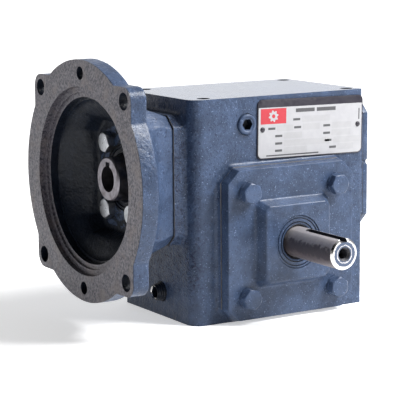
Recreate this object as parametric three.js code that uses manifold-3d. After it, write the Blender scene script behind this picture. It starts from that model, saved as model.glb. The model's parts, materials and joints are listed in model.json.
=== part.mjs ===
// Right-angle worm gear reducer with a C-face motor flange.
//
// Frame, in millimetres: X runs along the input (worm) axis with the motor flange facing -X, the output
// shaft points to -Y, Z is up. The origin is on the mounting base, below the point where the input axis
// passes over the output axis.

import * as THREE from 'three';
import { mergeVertices } from 'three/addons/utils/BufferGeometryUtils.js';
import Module from 'manifold-3d';

const wasm = await Module();
wasm.setup();

// ---------------------------------------------------------------------------------------------------
// Driving dimensions
// ---------------------------------------------------------------------------------------------------

const CENTRE_DISTANCE = 40;
const OUTPUT_HEIGHT = 48.4;
const INPUT_HEIGHT = OUTPUT_HEIGHT + CENTRE_DISTANCE;

const GAP = 0.3;
const POCKET_GAP = 0.35;
const GASKET_THICKNESS = 0.4;
const GASKET_GAP = 0.05;

const HOUSING_LEFT = -64.9;
const HOUSING_RIGHT = 60.4;
const HOUSING_HALF_DEPTH = 42;
const HOUSING_HEIGHT = 137.4;
const HOUSING_FRONT_LEFT_RADIUS = 8;
const HOUSING_EDGE_RADIUS = 1.2;
const CAVITY = { left: -46, right: 45, halfDepth: 30, bottom: 8, top: 124 };
const LEFT_BOSS_FACE = -73.5;
const RIGHT_BOSS_FACE = 66.4;
const BOSS_HALF_WIDTH = 34.8;
const BOSS_HALF_HEIGHT = 39.6;
const BOSS_CHAMFER = 7;
const PAD_FACE = 45;
const PAD_BASE_HALF = 48.3;
const PAD_FACE_HALF = 47.4;
const PAD_CHAMFER = 9;
const COVER_BORE_R = 36;
const FOOT_HOLE_X = 53;
const FOOT_HOLE_Y = 35;
const FOOT_HOLE_R = 4;
const FOOT_HOLE_DEPTH = 14;

const BOLT_R = 3.1;
const BOLT_HOLE_R = 3.4;
const BOLT_FLATS = 11.6;
const BOLT_HEAD = 4.5;
const BOLT_HEAD_CHAMFER = 0.8;
const BOLT_END_ROOM = 2;
const WASHER_R = 6.3;
const WASHER_THICKNESS = 2;
const WASHER_SPLIT = 0.8;

const COVER_FACE = 51.6;
const COVER_HALF = 46.2;
const COVER_CHAMFER = 8;
const COVER_BOLT = 32.4;
const COVER_BOLT_DEPTH = 12;
const COVER_HUB_R = 35.6;
const COVER_HUB_END = 31;
const RAISED_PAD_FACE = 58.8;
const RAISED_PAD_BASE_HALF = 27.2;
const RAISED_PAD_HALF = 23.4;
const RAISED_PAD_CHAMFER = 3;

const SEAL_BORE_R = 16.5;
const SEAL_DEPTH = 7;
const SEAL_SETBACK = 0.5;
const SEAL_RIM = 1.5;
const SEAL_DISH = 1.9;
const SEAL_LIP = { reach: 1.6, rootFrom: 0.7, from: 0.9, to: 1.4, rootTo: 2.2 };

const CUP_OUTER_R = 25.1;
const CUP_FACE = 48;
const CUP_WIDTH = 11;
const CONE_BORE_R = 12.7;
const CONE_WIDTH = 14;
const ROLLER_COUNT = 12;
const ROLLER_R = 2.9;
const ROLLER_LENGTH = 9;
const ROLLER_TILT = THREE.MathUtils.degToRad(12);
const ROLLER_PITCH_R = 19.1;

const SHAFT_R = 9.525;
const SHAFT_END = 105.7;
const SHAFT_CHAMFER = 1.1;
const CENTRE_HOLE = { mouthR: 4.3, r: 3.1, countersink: 1.6, depth: 9, point: 2 };
const SHAFT_KEYWAY_ANGLE = THREE.MathUtils.degToRad(-5);
const SHAFT_KEYWAY_START = 69;
const KEY_WIDTH = 4.76;
const KEYWAY_DEPTH = 2.4;
const WHEEL_SEAT_R = 14;
const WHEEL_SHOULDER_R = 16.5;
const WHEEL_KEY_HALF = 8.8;
const KEY_FIT = 0.05;
const SPACER_WALL = 3.45;

const FLANGE_FACE = -117.35;
const FLANGE_THICKNESS = 11;
const FLANGE_R = 73.3;
const FLANGE_LUG_HALF = 61;
const FLANGE_LUG_RADIUS = 8;
const FLANGE_HOLE_SPACING = 105.5;
const FLANGE_HOLE_R = 5.2;
const FLANGE_SMALL_HOLE_R = 4;
const FLANGE_SMALL_HOLE_RADIUS = 65.2;
const PILOT_R = 57.15;
const PILOT_DEPTH = 3.2;
const SECOND_STEP_R = 53.6;
const SECOND_STEP_DEPTH = 4.6;
const RECESS_R = 50.6;
const RECESS_DEPTH = 9;
const BELL_FLOOR = -89.35;
const BELL_OUTSIDE = [
  { x: -86, halfWidth: 37.5, halfHeight: 44, chamfer: 9, radius: 46, roundness: 0.2 },
  { x: -97, halfWidth: 42, halfHeight: 48, chamfer: 14, radius: 54, roundness: 0.8 },
];
const BELL_OUTSIDE_R = 57.5;
const BELL_POCKET = [
  { x: BELL_FLOOR, halfWidth: 29, halfHeight: 33.5, chamfer: 8, radius: 38, roundness: 0 },
  { x: -96, halfWidth: 31, halfHeight: 35.5, chamfer: 9, radius: 40, roundness: 0.15 },
  { x: -102, halfWidth: 33, halfHeight: 37, chamfer: 11, radius: 45, roundness: 0.7 },
];
const BELL_POCKET_R = RECESS_R - 1.6;
const BELL_HOLE_RELIEF = 12;
const BELL_BOLT_Y = 15.5;
const BELL_BOLT_Z = 20.5;
const BELL_BOLT_REACH = 10;
const BELL_BOLT_HEAD = 4.9;

const QUILL_END = -99.75;
const QUILL_R = 13.5;
const QUILL_BORE_R = 7.94;
const QUILL_BORE_END = -62;
const QUILL_KEYWAY_END = -66;
const QUILL_CLEARANCE = 1.5;
const INPUT_SEAL_R = 20;
const INPUT_SEAL_WIDTH = 7;

const BALL_BEARING_R = 26;
const BALL_BEARING_WIDTH = 15;
const BALL_PITCH_R = 19.3;
const BALL_R = 3.9;
const BALL_COUNT = 9;
const INPUT_BEARING_X = -54;
const TAIL_BEARING_X = 53;
const INPUT_JOURNAL_R = 12.5;
const TAIL_JOURNAL_R = 10;
const RACE_GAP = 0.35;
const BALL_LAND = 2.6;
const WORM_COLLAR_R = 15.5;
const WORM_CORE_R = 12;
const WORM_RUNOUT = 5;
const WORM_TAIL = 3;

const WHEEL_TEETH = 20;
const WHEEL_PITCH_R = 29;
const WORM_PITCH_R = CENTRE_DISTANCE - WHEEL_PITCH_R;
const WORM_LEAD = (2 * Math.PI * WHEEL_PITCH_R) / WHEEL_TEETH;
const WORM_OUTER_R = 13.7;
const WORM_ROOT_R = 7.4;
const WORM_CREST_HALF = 1.15;
const WORM_FLANK_SLOPE = Math.tan(THREE.MathUtils.degToRad(20));
const WORM_STEPS = 12;
const WORM_HALF_LENGTH = 1.5 * WORM_LEAD;
const WHEEL_TIP_R = 31.4;
const WHEEL_ROOT_R = 25.6;
const WHEEL_TOOTH = { tipHalf: 0.75, pitchHalf: 1.75, rootHalf: 2.5 };
const WHEEL_HALF_WIDTH = 9;
const WHEEL_HUB_R = 20;
const WHEEL_HUB_HALF = 13;

const END_CAP_FACE = 70.1;
const END_CAP_BOLT_Y = 18;
const END_CAP_BOLT_Z = 32;
const END_CAP_SPIGOT_BORE_R = 20;
const PRY_NOTCH_R = 1.6;

const NAMEPLATE = { x: 20.35, z: 116.1, width: 79.2, height: 36.4, radius: 3.4, thickness: 0.7 };
const NAMEPLATE_TILT = THREE.MathUtils.degToRad(-1);
const NAMEPLATE_PIN_X = 35.9;
const NAMEPLATE_PIN = { shankR: 0.9, holeR: 1.1, plateHoleR: 1.2, length: 5, headR: 1.7, headHeight: 0.8 };
const FILL_PLUG = { x: -26.8, z: 120.8, r: 6.4, length: 11, proud: 1.8, socketR: 3.7, socketDepth: 5.4 };
const DRAIN_PLUG = { y: -3.5, z: 15.4, r: 6.4, endR: 5, length: 10, proud: 5.5, socketR: 4.2, socketDepth: 6.9 };
const DRAIN_THREAD_PITCH = 1.4;
const DRAIN_THREAD_DEPTH = 0.55;

// ---------------------------------------------------------------------------------------------------
// Colours and finishes
// ---------------------------------------------------------------------------------------------------

const finish = (color, roughness, metalness) => new THREE.MeshStandardMaterial({ color, roughness, metalness });
const BLUE_PAINT = () => finish(0x4c5a78, 0.5, 0);
const CAST_IRON = () => finish(0x6d6c72, 0.6, 0.6);
const BRIGHT_STEEL = () => finish(0xb5aca4, 0.32, 1);
const BEARING_STEEL = () => finish(0xc2c4c8, 0.25, 1);
const BRONZE = () => finish(0xb08a4c, 0.35, 1);
const ZINC_STEEL = () => finish(0x9a9ea6, 0.4, 0.9);
const BLACK_RUBBER = () => finish(0x1c1c20, 0.7, 0);
const GASKET_PAPER = () => finish(0x3a3a38, 0.9, 0);
const PLATE_WHITE = () => finish(0xe8e8ea, 0.4, 0);

// ---------------------------------------------------------------------------------------------------
// Geometry helpers
// ---------------------------------------------------------------------------------------------------

const X_AXIS = new THREE.Vector3(1, 0, 0);
const Y_AXIS = new THREE.Vector3(0, 1, 0);
const Z_AXIS = new THREE.Vector3(0, 0, 1);

// Extrusion direction becomes +X; the outline's x and y become Y and Z.
const FACING_X = new THREE.Matrix4().makeBasis(Y_AXIS, Z_AXIS, X_AXIS);
// Extrusion direction becomes -Y; the outline's x and y become X and Z.
const FACING_FRONT = new THREE.Matrix4().makeRotationX(Math.PI / 2);

function solidOf(geometry) {
  const plain = geometry.clone();
  plain.deleteAttribute('normal');
  plain.deleteAttribute('uv');
  const merged = mergeVertices(plain, 1e-4);
  return new wasm.Manifold(new wasm.Mesh({
    numProp: 3,
    vertProperties: new Float32Array(merged.attributes.position.array),
    triVerts: new Uint32Array(merged.index.array),
  }));
}

function geometryOf(solid) {
  const mesh = solid.getMesh();
  const geometry = new THREE.BufferGeometry();
  geometry.setAttribute('position', new THREE.BufferAttribute(new Float32Array(mesh.vertProperties), 3));
  geometry.setIndex(new THREE.BufferAttribute(new Uint32Array(mesh.triVerts), 1));
  geometry.computeVertexNormals();
  return geometry;
}

function joined(geometries) {
  return geometryOf(geometries.map(solidOf).reduce((whole, piece) => whole.add(piece)));
}

function cut(geometry, cutters) {
  return geometryOf(cutters.map(solidOf).reduce((whole, tool) => whole.subtract(tool), solidOf(geometry)));
}

// A turned piece about Y from [radius, y] points; the profile closes on itself unless it meets the axis.
function turned(profile, segments = 24) {
  const points = profile.map(([r, y]) => new THREE.Vector2(r, y));
  const closed = profile[0][0] > 0;
  if (closed) {
    points.push(points[0].clone());
  }
  const geometry = new THREE.LatheGeometry(points, segments);
  return isInsideOut(geometry) ? flipped(geometry) : geometry;
}

// The same about X, from [radius, x] points.
function turnedAlongX(profile, segments = 24) {
  return turned(profile, segments).rotateZ(-Math.PI / 2);
}

function signedVolume(geometry) {
  const position = geometry.attributes.position;
  const index = geometry.index;
  const a = new THREE.Vector3();
  const b = new THREE.Vector3();
  const c = new THREE.Vector3();
  let volume = 0;
  for (let i = 0; i < index.count; i += 3) {
    a.fromBufferAttribute(position, index.getX(i));
    b.fromBufferAttribute(position, index.getX(i + 1));
    c.fromBufferAttribute(position, index.getX(i + 2));
    volume += a.dot(b.cross(c)) / 6;
  }
  return volume;
}

function isInsideOut(geometry) {
  return signedVolume(geometry) < 0;
}

function flipped(geometry) {
  const index = geometry.index;
  for (let i = 0; i < index.count; i += 3) {
    const second = index.getX(i + 1);
    index.setX(i + 1, index.getX(i + 2));
    index.setX(i + 2, second);
  }
  return geometry;
}

// A solid through closed rings of 3-D points, all with the same number of points.
function loft(rings) {
  const count = rings[0].length;
  const vertices = rings.flat().flatMap((p) => [p.x, p.y, p.z]);
  const triangles = [];
  for (let k = 0; k < rings.length - 1; k += 1) {
    for (let i = 0; i < count; i += 1) {
      const next = (i + 1) % count;
      const a = k * count + i;
      const b = k * count + next;
      const c = a + count;
      const d = b + count;
      triangles.push(a, b, d, a, d, c);
    }
  }
  const last = (rings.length - 1) * count;
  for (const [ring, offset, reverse] of [[rings[0], 0, true], [rings[rings.length - 1], last, false]]) {
    for (const [i, j, k] of capTriangles(ring)) {
      triangles.push(...(reverse ? [offset + i, offset + k, offset + j] : [offset + i, offset + j, offset + k]));
    }
  }
  const geometry = new THREE.BufferGeometry();
  geometry.setAttribute('position', new THREE.Float32BufferAttribute(vertices, 3));
  geometry.setIndex(triangles);
  return isInsideOut(geometry) ? flipped(geometry) : geometry;
}

// Triangles of a flat ring, in the ring's own turning direction.
function capTriangles(ring) {
  const normal = new THREE.Vector3();
  ring.forEach((p, i) => normal.add(p.clone().cross(ring[(i + 1) % ring.length])));
  const turn = new THREE.Quaternion().setFromUnitVectors(normal.normalize(), Z_AXIS);
  const flat = ring.map((p) => p.clone().applyQuaternion(turn)).map((p) => new THREE.Vector2(p.x, p.y));
  return THREE.ShapeUtils.triangulateShape(flat, []);
}

function prism(shape, depth, curveSegments = 12) {
  return new THREE.ExtrudeGeometry(shape, { depth, bevelEnabled: false, curveSegments });
}

function circleShape(x, y, r) {
  const shape = new THREE.Shape();
  shape.absarc(x, y, r, 0, 2 * Math.PI);
  return shape;
}

function chamferedRectangle(halfWidth, halfHeight, chamfer) {
  const corner = chamfer;
  return [
    [halfWidth, halfHeight - corner], [halfWidth - corner, halfHeight],
    [-halfWidth + corner, halfHeight], [-halfWidth, halfHeight - corner],
    [-halfWidth, -halfHeight + corner], [-halfWidth + corner, -halfHeight],
    [halfWidth - corner, -halfHeight], [halfWidth, -halfHeight + corner],
  ].map(([x, y]) => new THREE.Vector2(x, y));
}

function roundedRectangle(halfWidth, halfHeight, radii) {
  const [topRight, topLeft, bottomLeft, bottomRight] = radii;
  const quarter = Math.PI / 2;
  const shape = new THREE.Shape();
  shape.absarc(halfWidth - topRight, halfHeight - topRight, topRight, 0, quarter);
  shape.absarc(-halfWidth + topLeft, halfHeight - topLeft, topLeft, quarter, 2 * quarter);
  shape.absarc(-halfWidth + bottomLeft, -halfHeight + bottomLeft, bottomLeft, 2 * quarter, 3 * quarter);
  shape.absarc(halfWidth - bottomRight, -halfHeight + bottomRight, bottomRight, 3 * quarter, 4 * quarter);
  shape.closePath();
  return shape;
}

// Cylinders for cutting, from one coordinate to another along X, Y or Z.
function rodAlongX(r, from, to, y, z, segments = 12) {
  const rod = new THREE.CylinderGeometry(r, r, Math.abs(to - from), segments);
  return rod.rotateZ(-Math.PI / 2).translate((from + to) / 2, y, z);
}

function rodAlongY(r, from, to, x, z, segments = 12) {
  return new THREE.CylinderGeometry(r, r, Math.abs(to - from), segments).translate(x, (from + to) / 2, z);
}

function rodAlongZ(r, from, to, x, y, segments = 10) {
  const rod = new THREE.CylinderGeometry(r, r, Math.abs(to - from), segments);
  return rod.rotateX(Math.PI / 2).translate(x, y, (from + to) / 2);
}

function block(x0, x1, y0, y1, z0, z1) {
  const box = new THREE.BoxGeometry(x1 - x0, y1 - y0, z1 - z0);
  return box.translate((x0 + x1) / 2, (y0 + y1) / 2, (z0 + z1) / 2);
}

// The four sign pairs of a rectangular bolt pattern.
const CORNERS = [[-1, 1], [1, 1], [1, -1], [-1, -1]];

function mesh(name, geometry, material) {
  const piece = new THREE.Mesh(geometry, material);
  piece.name = name;
  return piece;
}

// ---------------------------------------------------------------------------------------------------
// Housing
// ---------------------------------------------------------------------------------------------------

function bossOutline() {
  return new THREE.Shape(chamferedRectangle(BOSS_HALF_WIDTH, BOSS_HALF_HEIGHT, BOSS_CHAMFER));
}

function sidePad(side) {
  const ring = (half, y) => chamferedRectangle(half, half, PAD_CHAMFER)
    .map((p) => new THREE.Vector3(p.x, y * side, p.y + OUTPUT_HEIGHT));
  return loft([ring(PAD_BASE_HALF, HOUSING_HALF_DEPTH - 1), ring(PAD_FACE_HALF, PAD_FACE)]);
}

function housing() {
  const middle = (HOUSING_LEFT + HOUSING_RIGHT) / 2;
  const halfLength = (HOUSING_RIGHT - HOUSING_LEFT) / 2;
  const radii = [HOUSING_EDGE_RADIUS, HOUSING_EDGE_RADIUS, HOUSING_FRONT_LEFT_RADIUS, HOUSING_EDGE_RADIUS];
  const outline = roundedRectangle(halfLength, HOUSING_HALF_DEPTH, radii);
  const body = prism(outline, HOUSING_HEIGHT, 5).translate(middle, 0, 0);
  const leftBoss = prism(bossOutline(), HOUSING_LEFT - LEFT_BOSS_FACE + 2).applyMatrix4(FACING_X)
    .translate(LEFT_BOSS_FACE, 0, INPUT_HEIGHT);
  const rightBoss = prism(bossOutline(), RIGHT_BOSS_FACE - HOUSING_RIGHT + 2).applyMatrix4(FACING_X)
    .translate(HOUSING_RIGHT - 2, 0, INPUT_HEIGHT);
  const casting = joined([body, leftBoss, rightBoss, sidePad(-1), sidePad(1)]);

  const lipEnd = INPUT_BEARING_X - BALL_BEARING_WIDTH / 2 - GAP;
  const cuts = [
    block(CAVITY.left, CAVITY.right, -CAVITY.halfDepth, CAVITY.halfDepth, CAVITY.bottom, CAVITY.top),
    rodAlongY(COVER_BORE_R, -PAD_FACE - 1, PAD_FACE + 1, 0, OUTPUT_HEIGHT, 32),
    rodAlongX(QUILL_R + QUILL_CLEARANCE, LEFT_BOSS_FACE - 1, lipEnd + 1, 0, INPUT_HEIGHT, 24),
    rodAlongX(BALL_BEARING_R + POCKET_GAP, lipEnd, CAVITY.left + 1, 0, INPUT_HEIGHT, 24),
    rodAlongX(BALL_BEARING_R + POCKET_GAP, CAVITY.right - 1, RIGHT_BOSS_FACE + 1, 0, INPUT_HEIGHT, 24),
    rodAlongY(FILL_PLUG.r + GAP, -HOUSING_HALF_DEPTH - 1, -CAVITY.halfDepth + 1, FILL_PLUG.x, FILL_PLUG.z),
    rodAlongY(FILL_PLUG.r + GAP, CAVITY.halfDepth - 1, HOUSING_HALF_DEPTH + 1, FILL_PLUG.x, FILL_PLUG.z),
    rodAlongX(DRAIN_PLUG.r + GAP, HOUSING_LEFT - 1, CAVITY.left + 1, DRAIN_PLUG.y, DRAIN_PLUG.z),
  ];
  for (const [sx, sy] of CORNERS) {
    const x = sx * FOOT_HOLE_X;
    const y = sy * FOOT_HOLE_Y;
    cuts.push(rodAlongZ(FOOT_HOLE_R, HOUSING_HEIGHT - FOOT_HOLE_DEPTH, HOUSING_HEIGHT + 1, x, y));
    cuts.push(rodAlongZ(FOOT_HOLE_R, -1, FOOT_HOLE_DEPTH, x, y));
  }
  for (const [sa, sz] of CORNERS) {
    const coverX = sa * COVER_BOLT;
    const coverZ = OUTPUT_HEIGHT + sz * COVER_BOLT;
    cuts.push(rodAlongY(BOLT_HOLE_R, -PAD_FACE - 1, -PAD_FACE + COVER_BOLT_DEPTH, coverX, coverZ, 8));
    cuts.push(rodAlongY(BOLT_HOLE_R, PAD_FACE - COVER_BOLT_DEPTH, PAD_FACE + 1, coverX, coverZ, 8));
    const bellZ = INPUT_HEIGHT + sz * BELL_BOLT_Z;
    cuts.push(rodAlongX(BOLT_HOLE_R, LEFT_BOSS_FACE - 1, LEFT_BOSS_FACE + BELL_BOLT_REACH,
      sa * BELL_BOLT_Y, bellZ, 8));
    const capZ = INPUT_HEIGHT + sz * END_CAP_BOLT_Z;
    cuts.push(rodAlongX(BOLT_HOLE_R, RIGHT_BOSS_FACE - COVER_BOLT_DEPTH, RIGHT_BOSS_FACE + 1,
      sa * END_CAP_BOLT_Y, capZ, 8));
  }
  for (const side of [-1, 1]) {
    const pin = nameplatePinPlace(side);
    cuts.push(rodAlongY(NAMEPLATE_PIN.holeR, -HOUSING_HALF_DEPTH - 1,
      -HOUSING_HALF_DEPTH + NAMEPLATE_PIN.length + 1, pin.x, pin.z, 8));
  }
  return cut(casting, cuts);
}

// ---------------------------------------------------------------------------------------------------
// Side covers, in their own frame: outline in X and Z about the output axis, outward face towards -Y
// ---------------------------------------------------------------------------------------------------

function coverPlate() {
  const inner = PAD_FACE + GASKET_THICKNESS;
  const ring = (half, y) => chamferedRectangle(half, half, COVER_CHAMFER)
    .map((p) => new THREE.Vector3(p.x, -y, p.y));
  const plate = loft([ring(PAD_FACE_HALF, inner), ring(COVER_HALF, COVER_FACE)]);
  const hub = rodAlongY(COVER_HUB_R, -inner - 1, -COVER_HUB_END, 0, 0, 32);
  return [plate, hub];
}

function coverCuts() {
  const cuts = [rodAlongY(CUP_OUTER_R + POCKET_GAP, -CUP_FACE - 0.1, -COVER_HUB_END + 1, 0, 0, 24)];
  for (const [sx, sz] of CORNERS) {
    cuts.push(rodAlongY(BOLT_HOLE_R, -COVER_FACE - 1, -PAD_FACE + 1, sx * COVER_BOLT, sz * COVER_BOLT, 8));
  }
  return cuts;
}

function outputCover() {
  const ring = (half, y) => chamferedRectangle(half, half, RAISED_PAD_CHAMFER)
    .map((p) => new THREE.Vector3(p.x, -y, p.y));
  const raised = loft([ring(RAISED_PAD_BASE_HALF, COVER_FACE - 1), ring(RAISED_PAD_HALF, RAISED_PAD_FACE)]);
  const sealFloor = RAISED_PAD_FACE - SEAL_DEPTH - 1;
  return cut(joined([...coverPlate(), raised]), [
    ...coverCuts(),
    rodAlongY(SEAL_BORE_R, -RAISED_PAD_FACE - 1, -sealFloor, 0, 0, 36),
    rodAlongY(CONE_BORE_R + 2, -sealFloor - 1, -CUP_FACE + 1, 0, 0, 20),
  ]);
}

function rearCover() {
  return cut(joined(coverPlate()), coverCuts());
}

function coverGasket() {
  const outline = new THREE.Shape(chamferedRectangle(COVER_HALF, COVER_HALF, COVER_CHAMFER));
  outline.holes.push(new THREE.Path(circleShape(0, 0, COVER_BORE_R + 1.5).getPoints(10)));
  for (const [sx, sz] of CORNERS) {
    outline.holes.push(circleShape(sx * COVER_BOLT, sz * COVER_BOLT, BOLT_HOLE_R));
  }
  return prism(outline, GASKET_THICKNESS - 2 * GASKET_GAP, 4).applyMatrix4(FACING_FRONT)
    .translate(0, -PAD_FACE - GASKET_GAP, 0);
}

// ---------------------------------------------------------------------------------------------------
// Fasteners, plugs and nameplate; bolts and washers point their heads to +Z with the seat at z = 0
// ---------------------------------------------------------------------------------------------------

function hexBolt(headHeight, shankLength) {
  const cornerR = BOLT_FLATS / 2 / Math.cos(Math.PI / 6);
  const ring = (r, z) => Array.from({ length: 6 }, (_, i) => {
    const angle = (i * Math.PI) / 3;
    return new THREE.Vector3(r * Math.cos(angle), r * Math.sin(angle), z);
  });
  const head = loft([
    ring(cornerR, 0),
    ring(cornerR, headHeight - BOLT_HEAD_CHAMFER),
    ring(cornerR - BOLT_HEAD_CHAMFER, headHeight),
  ]);
  const shank = rodAlongZ(BOLT_R, -shankLength, 1, 0, 0, 8);
  return joined([head, shank]);
}

function lockWasher() {
  const profile = [
    [BOLT_HOLE_R, GASKET_GAP], [WASHER_R, GASKET_GAP],
    [WASHER_R, WASHER_THICKNESS - GASKET_GAP], [BOLT_HOLE_R, WASHER_THICKNESS - GASKET_GAP],
  ];
  const ring = turned(profile, 12).rotateX(Math.PI / 2);
  const split = block(0, WASHER_R + 1, -WASHER_SPLIT / 2, WASHER_SPLIT / 2, -1, WASHER_THICKNESS + 1);
  return cut(ring, [split]);
}

// A hexagon socket of that depth in a face at z = proud.
function hexSocket(r, depth, proud) {
  return new THREE.CylinderGeometry(r, r, depth + 1, 6).rotateX(Math.PI / 2)
    .translate(0, 0, proud + (1 - depth) / 2);
}

function socketPlug() {
  const { r, length, proud, socketR, socketDepth } = FILL_PLUG;
  const chamfer = 0.8;
  const body = turned([[0, -length], [r - chamfer, -length], [r, -length + 1], [r, proud - chamfer],
    [r - chamfer, proud], [0, proud]], 16).rotateX(Math.PI / 2);
  return cut(body, [hexSocket(socketR, socketDepth, proud)]);
}

// A tapered pipe plug, standing a few threads proud of its hole.
function threadedPlug() {
  const { r, endR, length, proud, socketR, socketDepth } = DRAIN_PLUG;
  const crestAt = (y) => r + ((endR - r) * y) / proud;
  const profile = [[0, -length], [r - DRAIN_THREAD_DEPTH, -length]];
  for (let y = DRAIN_THREAD_PITCH / 2; y < proud - DRAIN_THREAD_PITCH; y += DRAIN_THREAD_PITCH) {
    const crest = y + DRAIN_THREAD_PITCH / 2;
    profile.push([crestAt(y) - DRAIN_THREAD_DEPTH, y]);
    profile.push([crestAt(crest), crest]);
  }
  profile.push([endR, proud - DRAIN_THREAD_DEPTH], [endR - DRAIN_THREAD_DEPTH, proud], [0, proud]);
  const body = turned(profile, 16).rotateX(Math.PI / 2);
  return cut(body, [hexSocket(socketR, socketDepth, proud)]);
}

function nameplatePinPlace(side) {
  return {
    x: NAMEPLATE.x + side * NAMEPLATE_PIN_X * Math.cos(NAMEPLATE_TILT),
    z: NAMEPLATE.z + side * NAMEPLATE_PIN_X * Math.sin(NAMEPLATE_TILT),
  };
}

function nameplate() {
  const { width, height, radius, thickness } = NAMEPLATE;
  const outline = roundedRectangle(width / 2, height / 2, [radius, radius, radius, radius]);
  for (const side of [-1, 1]) {
    outline.holes.push(circleShape(side * NAMEPLATE_PIN_X, 0, NAMEPLATE_PIN.plateHoleR));
  }
  return prism(outline, thickness, 3).applyMatrix4(FACING_FRONT);
}

function drivePin() {
  const { shankR, length, headR, headHeight } = NAMEPLATE_PIN;
  return turned([[0, -length], [shankR, -length], [shankR, GASKET_GAP], [headR, GASKET_GAP],
    [headR * 0.95, headHeight * 0.4], [headR * 0.6, headHeight * 0.9], [0, headHeight]], 10).rotateX(Math.PI / 2);
}

// ---------------------------------------------------------------------------------------------------
// Motor flange: C-face adapter with its bell and octagonal neck
// ---------------------------------------------------------------------------------------------------

// An octagon that turns into a circle of that radius as "roundness" goes from 0 to 1, at a place along X.
function bellRing({ x, halfWidth, halfHeight, chamfer, radius, roundness }) {
  const corners = chamferedRectangle(halfWidth, halfHeight, chamfer);
  const stepsPerEdge = 3;
  const ring = [];
  corners.forEach((corner, i) => {
    const next = corners[(i + 1) % corners.length];
    for (let step = 0; step < stepsPerEdge; step += 1) {
      const flat = corner.clone().lerp(next, step / stepsPerEdge);
      const round = flat.clone().setLength(radius);
      const point = flat.lerp(round, roundness);
      ring.push(new THREE.Vector3(x, point.x, point.y + INPUT_HEIGHT));
    }
  });
  return ring;
}

function flangePlate() {
  const disc = rodAlongX(FLANGE_R, FLANGE_FACE, FLANGE_FACE + FLANGE_THICKNESS, 0, INPUT_HEIGHT, 56);
  const lugRadii = Array(4).fill(FLANGE_LUG_RADIUS);
  const lugs = prism(roundedRectangle(FLANGE_LUG_HALF, FLANGE_LUG_HALF, lugRadii), FLANGE_THICKNESS, 6)
    .applyMatrix4(FACING_X).translate(FLANGE_FACE, 0, INPUT_HEIGHT);
  return [disc, lugs];
}

function motorFlange() {
  const neckEnd = LEFT_BOSS_FACE - GASKET_THICKNESS;
  const flangeBack = FLANGE_FACE + FLANGE_THICKNESS;
  const neck = { halfWidth: BOSS_HALF_WIDTH, halfHeight: BOSS_HALF_HEIGHT, chamfer: BOSS_CHAMFER };
  const pocketMouth = FLANGE_FACE + RECESS_DEPTH;
  const pocketEnd = { halfWidth: 36, halfHeight: 40, chamfer: 14, radius: BELL_POCKET_R, roundness: 1 };
  const bell = loft([
    bellRing({ x: neckEnd, ...neck, radius: 1, roundness: 0 }),
    ...BELL_OUTSIDE.map(bellRing),
    bellRing({ x: flangeBack - 1, ...pocketEnd, radius: BELL_OUTSIDE_R }),
  ]);
  const pocket = loft([
    ...BELL_POCKET.map(bellRing),
    bellRing({ x: pocketMouth, ...pocketEnd }),
    bellRing({ x: pocketMouth - 1, ...pocketEnd }),
  ]);
  const cuts = [
    pocket,
    rodAlongX(PILOT_R, FLANGE_FACE - 1, FLANGE_FACE + PILOT_DEPTH, 0, INPUT_HEIGHT, 40),
    rodAlongX(SECOND_STEP_R, FLANGE_FACE - 1, FLANGE_FACE + SECOND_STEP_DEPTH, 0, INPUT_HEIGHT, 40),
    rodAlongX(RECESS_R, FLANGE_FACE - 1, FLANGE_FACE + RECESS_DEPTH, 0, INPUT_HEIGHT, 40),
    rodAlongX(INPUT_SEAL_R + POCKET_GAP, BELL_FLOOR - 1, BELL_FLOOR + INPUT_SEAL_WIDTH + 1, 0, INPUT_HEIGHT, 24),
    rodAlongX(QUILL_R + QUILL_CLEARANCE, BELL_FLOOR, neckEnd + 1, 0, INPUT_HEIGHT, 24),
  ];
  for (const [sy, sz] of CORNERS) {
    const cornerY = (sy * FLANGE_HOLE_SPACING) / 2;
    const cornerZ = INPUT_HEIGHT + (sz * FLANGE_HOLE_SPACING) / 2;
    cuts.push(rodAlongX(FLANGE_HOLE_R, FLANGE_FACE - 1, flangeBack + BELL_HOLE_RELIEF, cornerY, cornerZ, 12));
    cuts.push(rodAlongX(BOLT_HOLE_R, BELL_FLOOR - 1, neckEnd + 1,
      sy * BELL_BOLT_Y, INPUT_HEIGHT + sz * BELL_BOLT_Z, 8));
  }
  for (const sz of [-1, 1]) {
    cuts.push(rodAlongX(FLANGE_SMALL_HOLE_R, FLANGE_FACE - 1, flangeBack + BELL_HOLE_RELIEF, 0,
      INPUT_HEIGHT + sz * FLANGE_SMALL_HOLE_RADIUS, 10));
  }
  return cut(joined([bell, ...flangePlate()]), cuts);
}

// A gasket in the octagonal joint faces of the input side, outline in Y and Z about the input axis.
function bossGasket(boltY, boltZ, boreR) {
  const outline = bossOutline();
  outline.holes.push(new THREE.Path(circleShape(0, 0, boreR).getPoints(8)));
  for (const [sy, sz] of CORNERS) {
    outline.holes.push(circleShape(sy * boltY, sz * boltZ, BOLT_HOLE_R));
  }
  return prism(outline, GASKET_THICKNESS - 2 * GASKET_GAP, 4).applyMatrix4(FACING_X)
    .translate(GASKET_GAP, 0, 0);
}

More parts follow.
